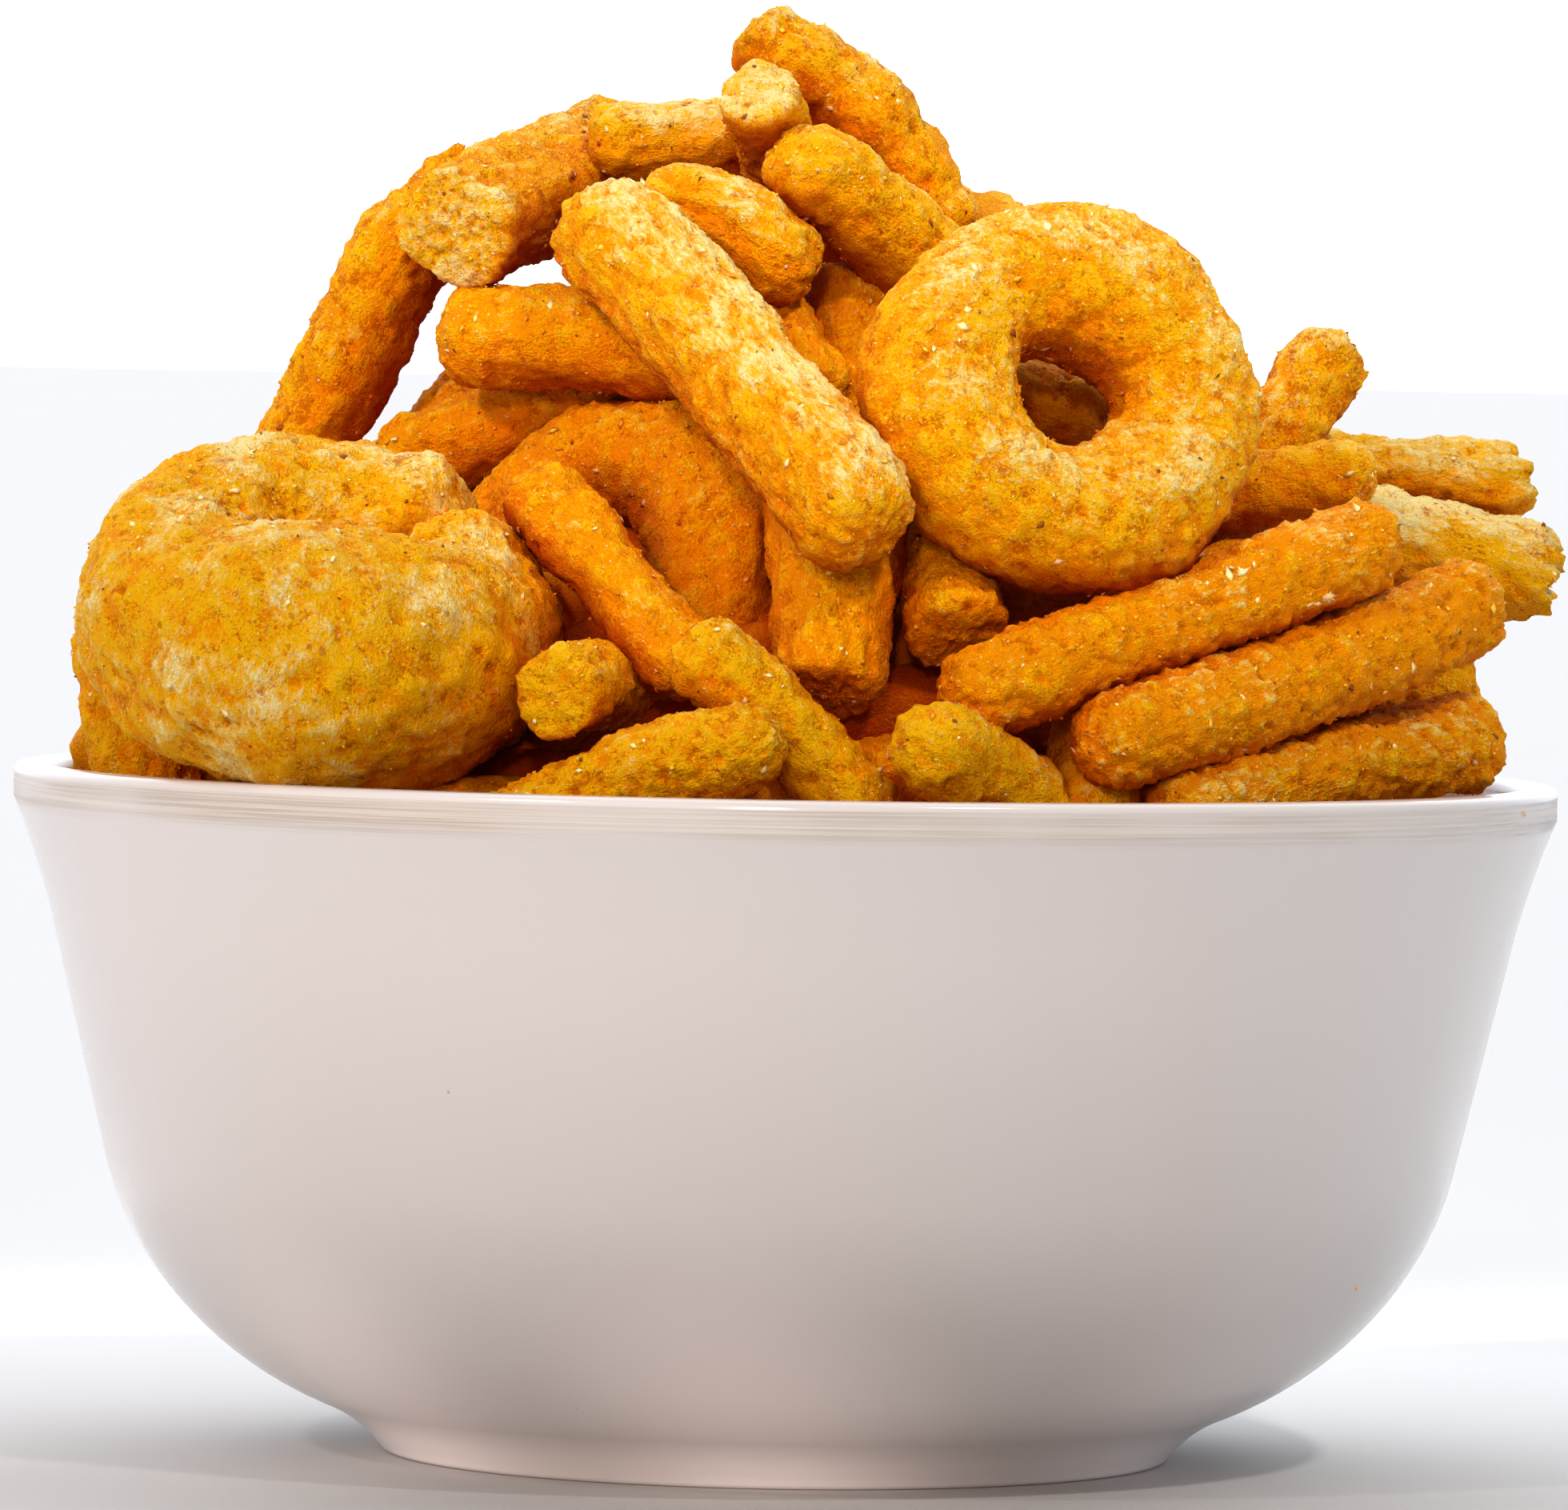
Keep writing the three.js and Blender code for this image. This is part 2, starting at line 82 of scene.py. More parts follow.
# Each stick: its two ends' centres, diameter, bow, end shapes, and its looks: how orange it is
# (0 pale to 1 deep), partly its dusting and partly painted shade on sticks that lie in shadow,
# how frosted it is, its crust (see CRUSTS), and its taper.
# The rows are C to I, I2, K to Z, AA to HH, LL, JJ and KK.
SHOWN_STICKS = [
    ((-15.7, -25, 110), (5, -50, 87), 11, (0.2, 0, 0.2), "round round", 0.6, 0.95, "fibre"),
    ((-10.5, -13, 112.5), (-1.5, -15, 108.5), 8, (0.5, 0, 0.7), "round round", 0.6, 0.6, "fibre"),
    ((-16, 1, 119), (-5, 3, 119), 7, (0, 0, 0), "round round", 0.05, 1.0, "fine"),
    ((-29.5, -16, 111), (-17.5, 9, 117), 10.4, (0, 0, 0.3), "bare cut", 0.7, 0.45, "square"),
    ((-32.3, -5, 114.5), (-51, -4, 76), 9, (-0.3, 0, 0.3), "tip round", 0.6, 0.3, "brown"),
    ((-28, -14, 101), (-9.5, -20, 100), 9, (0, 0, 0.6), "round round", 0.7, 0.3, "fine"),
    ((-36, -6, 86.5), (-26, -2, 98.5), 8.6, (0, 0, 0), "round round", 0.7, 0.2, "brown"),
    ((-33, -8, 90), (-17, -13, 96), 8.2, (0, 0, 0.4), "round round", 0.8, 0.2, "fine"),
    ((-21.5, -32, 86.5), (-9, -44, 73), 7, (0, 0, 0), "round round", 0.75, 0.15, "fine"),
    ((-19.5, -54, 70.3), (-14, -40, 71), 7.8, (0, 0, 0), "cut round", 0.3, 0.3, "fine"),
    ((-6.3, -54, 73.5), (6, -52, 61.5), 7.4, (0, 0, 0), "round round", 0.25, 0.4, "fine"),
    ((-23.5, -54, 58), (-3.6, -59, 66.3), 7.8, (0, 0, 0.7), "round round", 0.4, 0.4, "pebble"),
    ((4.3, -37, 86), (3.7, -47, 72.6), 11.2, (0, 0, 0), "round cut", 0.85, 0.0, "fibre", -0.3),
    ((12.5, -32, 86), (14.6, -44, 77), 8.7, (0, 0, 0), "round cut", 0.75, 0.1, "pebble"),
    ((16.8, -52, 71), (50, -34, 83.8), 8.1, (0, 0, -0.4), "round round", 0.95, 0.3, "pebble"),
    ((29.3, -50, 67), (59.3, -26, 78), 8.9, (0, 0, -0.5), "round round", 1.0, 0.35, "pebble"),
    ((35, -46, 60.5), (60.2, -22, 66.3), 8.1, (0, 0, 0.8), "round cut", 0.8, 0.5, "pebble"),
    ((12.8, -58, 66), (21, -48, 61.5), 8, (0, 0, 0), "round round", 0.2, 0.4, "fine"),
    ((-2, 0, 127.3), (12.3, -1, 113), 8.2, (1.6, 0, 1), "round round", 0.55, 0.4, "knobs"),
    ((-3.3, -9, 122.8), (0, 4, 112), 7, (0, 0, 0), "bare round", 0.35, 0.45, "fine"),
    ((1.3, -14, 116.3), (12.3, -8, 108), 8.8, (0, 0, 0.5), "round round", 0.3, 0.5, "fine"),
    ((5.4, -13, 104), (4.3, -19, 91.5), 8.8, (-0.4, 0, 0), "round round", 0.7, 0.2, "fine"),
    ((38.5, -14, 84), (48, -6, 99.2), 7.6, (-0.4, 0, 0.3), "round round", 0.45, 0.6, "brown"),
    ((36.5, -18, 86.5), (49.3, -20, 89.7), 6.6, (0, 0, 0.4), "round round", 0.5, 0.3, "fine"),
    ((37.5, 4, 90.4), (64.5, 10, 89.2), 7, (0, 0, 0.4), "round torn", 0.2, 0.9, "fibre"),
    ((47.3, -2, 84.7), (66.2, 3, 81.2), 9.0, (0, 0, 0.6), "round torn", 0.15, 1.25, "fibre"),
    ((41, -14, 71.5), (59.3, -6, 71), 7.6, (0, 0, 0), "round cut", 0.4, 0.6, "pebble"),
    ((-59.5, -13, 72), (-56, -14, 53), 9.6, (0, 0, 0), "cut round", 0.5, 0.3, "fine"),
    ((-61.3, 8, 77.2), (-44.5, 12, 75.5), 7, (0, 0, 0), "cut round", 0.5, 0.3, "brown"),
    ((20.5, -30, 77), (40.5, -24, 79.5), 9, (0, 0, 0), "round round", 0.9, 0.0, "fine"),
    ((22, -38, 61), (32, -40, 59.5), 7.4, (0, 0, 0), "round round", 0.8, 0.1, "pebble"),
    ((17, -34, 66.4), (33, -32, 68.3), 8.4, (0, 0, 0), "round round", 0.9, 0.0, "fine"),
    ((0.5, -43, 62), (9.3, -42, 63.5), 7.6, (0, 0, 0), "round round", 0.7, 0.1, "pebble"),
    ((17, -22, 98), (34.5, -21, 91), 7.4, (0, 0, 0), "round round", 0.6, 0.4, "fibre"),
    ((-6.7, -8, 108), (0.6, -17, 97.3), 8.2, (0, 0, 0), "round round", 0.8, 0.1, "fine"),
]

# Each ring: its centre, the way the hole points, outer and tube diameter, and its looks.
# The rows are A, B and J.
SHOWN_RINGS = [
    ((-41.3, -34, 75.9), (0.12, -0.42, 0.9), 42, 20.4, 0.35, 0.6, "fat"),
    ((23.8, -38, 96.2), (0.3, -0.86, 0.4), 36, 13.3, 0.5, 0.7, "ring"),
    ((-15.3, -27, 79), (-0.6, -0.75, 0.3), 36, 12.4, 0.75, 0.15, "ring"),
]

# Sticks out of sight that hold up the ones at the top.
PROP_STICKS = [
    ((-14, 12, 106), (8, 22, 100), 10, (0, 0, 0.8), "round round"),
    ((14, 8, 108), (26, -6, 98), 9.4, (0, 0, 0.6), "round cut"),
    ((-2, 14, 113), (16, 20, 96), 8.6, (0, 0.8, 0), "cut round"),
    ((27, 6, 99), (40, -8, 92), 9, (0, 0, 0), "round round"),
]

# Rows of loose puffs: height, distance from the axis, arc in degrees, count.
LOOSE_ROWS = [
    (54, 52, 188, 352, 8),
    (64, 54, 4, 176, 8),
    (74, 47, 14, 166, 6),
    (84, 35, 20, 158, 5),
    (94, 21, 30, 150, 3),
    (101, 6, 80, 100, 1),
]
LOOSE_SEED, LOOKS_SEED = 20411, 20418
LOOSE_LENGTH, LOOSE_ACROSS = (20, 33), (7.6, 11.6)
LOOSE_RING, LOOSE_TUBE, LOOSE_LEAN = 35, 13, 0.25
RING_TURN = (4, 2)  # of every four loose puffs, the one that is a ring
WIDE = 10.4  # loose sticks wider than this have cut ends
LOOSE_CRUSTS = ("fibre", "fine", "pebble", "brown")

# Rows of sticks on the core, under the outer ones: height and count.
UNDER_ROWS = ((56, 17), (63, 15), (70, 13), (77, 10), (83, 6), (87, 3))
UNDER_SEED = 977
# One more row behind the front of the rim: count, first azimuth and step in degrees,
# distance from the axis, height, diameter.
FRONT_ROW = (9, 214, 15, 53.0, 50.8, 9.0)

# How a crust is built up, in mm: height of the slow lumps, the puffed cells, the fibres and
# the grit; the size of a cell; how much longer than wide its marks are along the stick;
# how deep and how common the open pits are; and how brown it is toasted (0 to 1).
# Crusts "square" and "knobs" also change a stick's section, and "fat" a ring's form.
CRUSTS = {
    "fibre": (0.50, 0.22, 0.27, 0.16, 2.3, 2.4, 0.45, 0.20, 0.15),
    "fine": (0.55, 0.20, 0.22, 0.17, 2.1, 1.2, 0.45, 0.25, 0.15),
    "brown": (0.60, 0.22, 0.25, 0.18, 2.4, 1.4, 0.55, 0.30, 0.65),
    "pebble": (0.45, 0.15, 0.24, 0.25, 1.5, 0.9, 0.60, 0.60, 0.35),
    "knobs": (0.60, 0.26, 0.24, 0.17, 2.4, 1.0, 0.60, 0.30, 0.50),
    "square": (0.35, 0.20, 0.27, 0.15, 2.2, 1.8, 0.40, 0.20, 0.45),
    "ring": (0.60, 0.22, 0.24, 0.15, 2.4, 1.0, 0.45, 0.22, 0.20),
    "fat": (0.80, 0.28, 0.24, 0.14, 2.9, 1.0, 0.60, 0.25, 0.20),
}


def numbers(seed):
    """A repeatable stream of numbers from 0 to 1 (Park and Miller's generator)."""
    state = seed
    while True:
        state = state * 16807 % 2147483647
        yield state / 2147483647


def vec(*parts):
    return np.array(parts, float)


def unit(v):
    return v / np.linalg.norm(v)


def stick(start, end, across, bow, ends, tone=0.5, frost=0.3, crust="fine", taper=0.0):
    return dict(start=vec(*start), end=vec(*end), across=across, bow=vec(*bow),
                ends=ends.split(), tone=tone, frost=frost, crust=crust, taper=taper)


def ring(centre, hole, outer, tube, tone=0.5, frost=0.3, crust="ring"):
    return dict(centre=vec(*centre), hole=unit(vec(*hole)), outer=outer, tube=tube,
                tone=tone, frost=frost, crust=crust)


def between(low, high, share):
    return low + (high - low) * share


def loose_puffs(before):
    """The given puffs and the ones round the sides and the back, before they settle."""
    draw = numbers(LOOSE_SEED)
    looks = numbers(LOOKS_SEED)
    puffs = []
    for row_height, reach, start, end, count in LOOSE_ROWS:
        for i in range(count):
            share = (i + 0.2 + 0.6 * next(draw)) / count
            around = math.radians(start + share * (end - start))
            height = row_height + 4 * (next(draw) - 0.5)
            turn = (next(draw) - 0.5) * math.pi * 0.95
            lean = (next(draw) - 0.5) * 2 * LOOSE_LEAN
            length = between(*LOOSE_LENGTH, next(draw))
            across = between(*LOOSE_ACROSS, next(draw))
            bow = 2 * (next(draw) - 0.5)
            c, s = math.cos(around), math.sin(around)
            centre = vec(reach * c, reach * s, height)
            slope = math.atan2(height - CORE_CENTRE, reach)
            outward = vec(c * math.cos(slope), s * math.cos(slope), math.sin(slope))
            sideways = vec(-s, c, 0)
            downhill = vec(c * math.sin(slope), s * math.sin(slope), -math.cos(slope))
            along = sideways * math.cos(turn) + downhill * math.sin(turn) + outward * lean
            tone, frost = 0.3 + 0.5 * next(looks), 0.2 + 0.6 * next(looks)
            if len(puffs) % RING_TURN[0] == RING_TURN[1]:
                puffs.append(ring(centre, outward + 0.5 * along, LOOSE_RING + bow,
                                  LOOSE_TUBE + bow, tone, frost))
            else:
                half = along * length / 2 / np.linalg.norm(along)
                ends = "round cut" if across > WIDE else "round round"
                crust = LOOSE_CRUSTS[int(4 * next(looks)) % 4]
                puffs.append(stick(centre - half, centre + half, across, outward * bow, ends,
                                   tone, frost, crust))
    return before + puffs


# ---- how the puffs come to rest against each other ----------------------------------------


def ring_axes(puff):
    """The ring's own x, y and z, turned the shortest way from the frame's."""
    turn = Vector((0, 0, 1)).rotation_difference(Vector(puff["hole"]))
    return np.array(turn.to_matrix())


def balls_of(puff):
    """The chain of balls that stands in for a puff: their centres and radius."""
    if "tube" in puff:
        angle = np.arange(12) * math.pi / 6
        flat = np.stack([np.cos(angle), np.sin(angle), 0 * angle], 1)
        flat *= (puff["outer"] - puff["tube"]) / 2
        return flat @ ring_axes(puff).T + puff["centre"], puff["tube"] / 2
    radius = puff["across"] / 2
    last = math.ceil(np.linalg.norm(puff["end"] - puff["start"]) / (0.8 * radius))
    t = (np.arange(last + 1) / last)[:, None]
    line = puff["start"] + (puff["end"] - puff["start"]) * t + puff["bow"] * 4 * t * (1 - t)
    return line, radius


def push_from_bowl(at, radius):
    """How far each ball has to move to be clear of the bowl's wall and rim."""
    out = np.hypot(at[:, 0], at[:, 1])
    radial = np.stack([at[:, 0], at[:, 1], 0 * out], 1) / np.maximum(out, 1e-6)[:, None]
    rim_level = HEIGHT - RIM_TUBE
    climb = np.maximum(0, at[:, 2] - HAUNCH_HEIGHT) / (HEIGHT - HAUNCH_HEIGHT)
    inside = HAUNCH_RADIUS + climb * (RIM_RADIUS - HAUNCH_RADIUS) - WALL
    over = np.maximum(out + radius + CLEARANCE - inside, 0)
    by_wall = -radial * over[:, None]
    away = at - radial * (RIM_RADIUS - WALL / 2) - vec(0, 0, rim_level)
    gap = np.linalg.norm(away, axis=1)
    over = np.maximum(radius + RIM_TUBE + CLEARANCE - gap, 0)
    by_rim = away * (over / gap)[:, None]
    return np.where((at[:, 2] < rim_level)[:, None], by_wall, by_rim)


def push_from_core(at, radius):
    """How far each ball has to move to lie on the core and not in it."""
    from_centre = at - vec(0, 0, CORE_CENTRE)
    level = np.linalg.norm(from_centre / vec(CORE_RADIUS, CORE_RADIUS, CORE_RISE), axis=1)
    sunk = np.maximum((1 - level) * CORE_RISE + radius * 0.4, 0) * (at[:, 2] > CORE_CENTRE)
    return from_centre / np.linalg.norm(from_centre, axis=1)[:, None] * sunk[:, None]


def settle(shown, loose):
    """Puffs that overlap push each other apart; see the solids' source for the rule."""
    puffs = shown + loose
    rows = [balls_of(p) for p in puffs]
    at = np.concatenate([r[0] for r in rows])
    radius = np.concatenate([np.full(len(r[0]), r[1]) for r in rows])
    owner = np.concatenate([np.full(len(r[0]), i) for i, r in enumerate(rows)])
    middle = [np.flatnonzero(owner == i)[len(r[0]) // 2] for i, r in enumerate(rows)]
    fixed = owner < len(shown)
    meets = (owner[:, None] != owner[None]) & (~fixed[:, None] | fixed[None])
    reach = radius[:, None] + radius[None] - INTERLOCK
    total = np.zeros((len(puffs), 3))
    for _ in range(ROUNDS):
        push = push_from_bowl(at, radius)
        push += push_from_core(at, radius) * ~fixed[:, None]
        touches = (np.linalg.norm(push, axis=1) > 0).astype(float)
        apart = at[:, None] - at[None]
        gap = np.maximum(np.linalg.norm(apart, axis=2), 1e-6)
        over = np.where(meets, np.maximum(reach - gap, 0), 0)
        touches += (over > 0).sum(1)
        push += (apart * (over / gap)[:, :, None]).sum(1)
        count = np.bincount(owner, touches)
        move = np.stack([np.bincount(owner, push[:, k]) for k in range(3)], 1)
        move *= (STEP / np.maximum(count, 1))[:, None]
        centre = at[middle]
        still = np.arange(len(puffs)) < len(shown)
        inward = -centre * vec(1, 1, 0.5)
        inward /= np.linalg.norm(inward, axis=1)[:, None]
        back = move[:, 1] + PULL * np.clip(-centre[:, 1] / 20, -1, 1)
        move = np.where(still[:, None], np.stack([0 * back, back, 0 * back], 1),
                        move + PULL * inward)
        at = at + move[owner]
        total += move
    for puff, moved in zip(puffs, total):
        for key in ("centre",) if "tube" in puff else ("start", "end"):
            puff[key] = puff[key] + moved
    return puffs


# ---- noise --------------------------------------------------------------------------------

SLANTS = np.array([s for s in itertools.product((-1, 0, 1), repeat=3) if np.abs(s).sum() == 2]
                  + [(1, 1, 0), (-1, 1, 0), (0, -1, 1), (0, -1, -1)], float)


def hashed(cell, seed):
    """A number of 32 bits for each whole-numbered cell of space."""
    h = cell[:, 0] * 374761393 + cell[:, 1] * 668265263 + cell[:, 2] * 1103515245
    h = h + seed * 974634777 & 0xFFFFFFFF
    h = ((h ^ (h >> 13)) * 1274126177) & 0xFFFFFFFF
    return h ^ (h >> 16)


def noise(p, seed):
    """Smooth gradient noise, about -1 to 1."""
    cell = np.floor(p).astype(np.int64)
    f = p - cell
    w = f * f * f * (f * (f * 6 - 15) + 10)
    total = np.zeros(len(p))
    for corner in itertools.product((0, 1), repeat=3):
        o = np.array(corner)
        slope = SLANTS[hashed(cell + o, seed) & 15]
        total += ((f - o) * slope).sum(1) * np.where(o, w, 1 - w).prod(1)
    return total * 1.3


def nearest(p, seed):
    """Distance to the nearest of scattered points, and a number of that point's own."""
    cell = np.floor(p).astype(np.int64)
    f = p - cell
    best, who = np.full(len(p), 9.0), np.zeros(len(p), np.int64)
    for o in itertools.product((-1, 0, 1), repeat=3):
        h = hashed(cell + np.array(o), seed)
        away = [(h >> 10 * k & 1023) / 1023 + o[k] - f[:, k] for k in range(3)]
        d = away[0] ** 2 + away[1] ** 2 + away[2] ** 2
        who = np.where(d < best, h, who)
        best = np.minimum(d, best)
    return np.sqrt(best), (who >> 3 & 1023) / 1023


def ramp(x, low, high):
    t = np.clip((x - low) / (high - low), 0, 1)
    return t * t * (3 - 2 * t)


# ---- meshes -------------------------------------------------------------------------------


def evenly(path, spacing):
    """The path's points again, evenly spread along it."""
    steps = np.linalg.norm(np.diff(path, axis=0), axis=1)
    travelled = np.concatenate([[0], np.cumsum(steps)])
    count = max(4, round(travelled[-1] / spacing))
    at = np.linspace(0, travelled[-1], count + 1)
    return np.stack([np.interp(at, travelled, path[:, k]) for k in range(path.shape[1])], 1)


def tube_faces(rows, around, closed):
    """Quads between rows of a tube; an open tube is capped by fans round two end points."""
    i, j = np.meshgrid(np.arange(rows if closed else rows - 1), np.arange(around), indexing="ij")
    a, b = i * around, (i + 1) % rows * around
    k = (j + 1) % around
    quads = np.stack([a + j, a + k, b + k, b + j], -1).reshape(-1, 4)
    if closed:
        return quads, np.zeros((0, 3), int)
    j = np.arange(around)
    k = (j + 1) % around
    first, last, end = rows * around, rows * around + 1, (rows - 1) * around
    low = np.stack([np.full(around, first), k, j], 1)
    high = np.stack([np.full(around, last), end + j, end + k], 1)
    return quads, np.concatenate([low, high])


# Each kind of end: how far it reaches in radii, and its radius at a share of that reach.
END_SHAPES = {
    "round": (0.9, lambda s: (1 - (1 - s) ** 2.3) ** 0.43),
    "cut": (0.5, lambda s: (1 - (1 - s) ** 6) ** 0.17),
    "bare": (0.4, lambda s: (1 - (1 - s) ** 8) ** 0.125),
    "torn": (0.6, lambda s: (1 - (1 - s) ** 4) ** 0.25),
    "tip": (2.2, lambda s: s ** 0.7),
}


def grid_normals(grid, closed):
    """Outward normals of a grid of rows round a tube."""
    along = np.roll(grid, -1, 0) - np.roll(grid, 1, 0) if closed else np.gradient(grid, axis=0)
    around = np.roll(grid, -1, 1) - np.roll(grid, 1, 1)
    normal = np.cross(around, along)
    return normal / np.maximum(np.linalg.norm(normal, axis=2, keepdims=True), 1e-9)


def stick_mesh(puff, spacing):
    """Points, normals, points in the stick's own frame, bareness, quads and triangles."""
    radius = puff["across"] / 2
    axis = puff["end"] - puff["start"]
    length = np.linalg.norm(axis)
    z = axis / length
    x = unit(np.cross(z, vec(0, 0, 1) if abs(z[2]) < 0.9 else vec(0, 1, 0)))
    y = np.cross(z, x)
    s = np.linspace(0, 1, 60) ** 2
    (reach_a, shape_a), (reach_b, shape_b) = (END_SHAPES[e] for e in puff["ends"])
    low, high = -radius * min(reach_a, 1), length + radius * min(reach_b, 1)
    head = np.stack([low + s * radius * reach_a, radius * shape_a(s)], 1)
    foot = np.stack([high - s * radius * reach_b, radius * shape_b(s)], 1)[::-1]
    path = evenly(np.concatenate([head, foot]), spacing)[1:-1]
    around = max(10, round(2 * math.pi * radius / spacing))
    angle = np.arange(around) * 2 * math.pi / around
    swell = np.ones((len(path), around))
    share = path[:, 0] / length
    if puff["crust"] == "square":
        square = (np.abs(np.cos(angle - 0.5)) ** 4 + np.abs(np.sin(angle - 0.5)) ** 4) ** -0.25
        swell *= 0.97 * (square[None] * 0.8 + 0.2)
    if puff["crust"] == "knobs":
        swell *= 1 + 0.15 * (np.abs(np.sin(share * math.pi * 2.8 + 0.5)) - 0.45)[:, None]
    swell *= 1 + puff["taper"] * (share - 0.5)[:, None]
    r = path[:, 1:] * swell
    local = np.stack([r * np.cos(angle), r * np.sin(angle), path[:, :1] + 0 * r], 2)
    if puff["ends"][1] == "torn":
        frayed = ramp(local[..., 2], high - 3.5, high - 0.5)
        ragged = noise(local.reshape(-1, 3) / 1.7, 61).reshape(frayed.shape)
        local[..., 2] += 1.9 * frayed * ragged
    poles = np.array([[0, 0, low], [0, 0, high]], float)
    t = np.clip(local[..., 2:] / length, 0, 1)
    grid = puff["start"] + local @ np.stack([x, y, z]) + puff["bow"] * 4 * t * (1 - t)
    normal = grid_normals(grid, False)
    co = np.concatenate([grid.reshape(-1, 3), puff["start"] + poles[:, 2:] * z])
    normal = np.concatenate([normal.reshape(-1, 3), [-z, z]])
    quads, tris = tube_faces(len(path), around, False)
    local = np.concatenate([local.reshape(-1, 3), poles])
    bare = 0 * local[:, 2]
    if puff["ends"][0] == "bare":
        bare += ramp(low + 0.25 * radius - local[:, 2], -0.1, 0.2)
    return co, normal, local, bare, quads, tris


def ring_mesh(puff, spacing):
    """The same arrays as stick_mesh's, for a ring."""
    tube, middle = puff["tube"] / 2, (puff["outer"] - puff["tube"]) / 2
    rows = round(2 * math.pi * (middle + tube * 0.4) / spacing)
    around = round(2 * math.pi * tube / spacing)
    phi = (np.arange(rows) * 2 * math.pi / rows)[:, None]
    theta = (np.arange(around) * 2 * math.pi / around)[None]
    phase = puff["centre"][0]
    swell = 1 + 0.05 * np.sin(2 * phi + phase) + 0.04 * np.sin(3 * phi + 2 * phase)
    lift = 0
    if puff["crust"] == "fat":
        near = np.cos(phi + math.pi / 2)
        swell = 1.0 + 0.15 * near + 0.03 * np.sin(3 * phi)
        swell = swell - 0.32 * np.exp(-((phi - 0.62) / 0.20) ** 2)
        lift = np.where(near > 0, 1.2, -3.0) * near
    out = np.maximum(middle + tube * swell * np.cos(theta), 0.35)
    across = out * np.cos(phi)
    if puff["crust"] == "fat":
        across = across + 2.0 * (1 - np.cos(theta)) * np.cos(phi)
    local = np.stack([across, out * np.sin(phi), tube * swell * np.sin(theta) + lift], 2)
    grid = local @ ring_axes(puff).T + puff["centre"]
    normal = -grid_normals(grid, True)
    quads, tris = tube_faces(rows, around, True)
    bare = np.zeros(grid.size // 3)
    return (grid.reshape(-1, 3), normal.reshape(-1, 3), local.reshape(-1, 3), bare,
            quads[:, ::-1], tris)


FROST_AND_HIGHLIGHT_SIDE = unit(vec(0.35, -0.25, 0.9))  # lost dusting, and a painted highlight
PATTERN_STEP, PATTERN_SLANT = 41.3, vec(1, 0.37, 0.71)  # so that no two puffs look the same


def crusted(puffs, spacing, first):
    """All these puffs with their crusts, as one set of arrays.

    dusting_and_shade, pale, toast and painted_shade say how thick the dusting lies, with painted
    shade on puffs given a deep tone; how bare the puffed corn is, with a painted highlight on the
    side facing FROST_AND_HIGHLIGHT_SIDE; how toasted it is; and the painted shade where a point
    is closed in by puffs or faces down. grain is a place in the crust's pattern, in mm.
    """
    parts = []
    for number, puff in enumerate(puffs):
        maker = ring_mesh if "tube" in puff else stick_mesh
        co, normal, local, bare, quads, tris = maker(puff, spacing)
        looks = np.tile([puff["tone"], puff["frost"], *CRUSTS[puff["crust"]]], (len(co), 1))
        looks[:, 0] -= 0.5 * bare
        looks = np.column_stack([looks, closed_in(co, normal, BALLS), bare])
        offset = PATTERN_STEP * (first + number) * PATTERN_SLANT
        parts.append((co, normal, local, offset + local, looks, quads, tris))
    sizes = np.cumsum([0] + [len(p[0]) for p in parts])
    co, normal, local, grain, looks = (np.concatenate([p[k] for p in parts]) for k in range(5))
    quads = np.concatenate([p[5] + n for p, n in zip(parts, sizes)])
    tris = np.concatenate([p[6] + n for p, n in zip(parts, sizes)])
    (tone, frost, lumps, cells, fibres, grit, cell, stretch, pit, pitted, brown, painted_shade,
     bare) = looks.T
    long = np.stack([stretch ** -0.35, stretch ** -0.35, stretch ** 0.65], 1)
    spot, _ = nearest(grain / (cell[:, None] * long), 3)
    dome = 1 - np.minimum(spot / 0.8, 1) ** 2
    strands = noise(grain / (1.25 * long), 5)
    fine = noise(grain / 0.62, 7)
    flakes = ramp(noise(grain / (1.9 * long), 19), 0.05, 0.35)
    hole, which = nearest(grain / 2.3, 11)
    pits = ramp(-hole, -0.34, -0.10) * (which < pitted)
    slow = noise(grain / 8.5, 13) + 0.5 * noise(grain / 3.9, 17)
    relief = cells * (dome - 0.45) + fibres * (strands + 0.8 * flakes) + grit * fine - pit * pits
    co = co + normal * (lumps * slow + relief)[:, None]
    fat = lumps > 0.75
    # painted highlight: frost is made strongest on the side facing FROST_AND_HIGHLIGHT_SIDE
    facing = np.maximum(ramp(normal @ FROST_AND_HIGHLIGHT_SIDE, 0.05, 0.95), 0.6 * fat)
    frost = frost * (0.2 + 0.8 * facing) + 0.55 * bare
    blotches = noise(grain / 1.9, 31) + 0.5 * noise(grain / 0.95, 37)
    patches = (noise(grain / 6.0, 41) + 0.5 * noise(grain / 2.6, 43)) * (1 + 0.7 * fat)
    spots = noise(grain / 1.5, 47) + 0.6 * noise(grain / 0.75, 53)
    return dict(co=co, quads=quads, tris=tris, grain=grain, normal=normal, painted_shade=painted_shade,
                dusting_and_shade=0.36 * tone + 0.16 * blotches - 0.45 * relief,
                pale=0.38 * frost + 0.16 * patches + 0.35 * relief,
                toast=0.16 * brown + 0.20 * spots - 0.25 * relief)


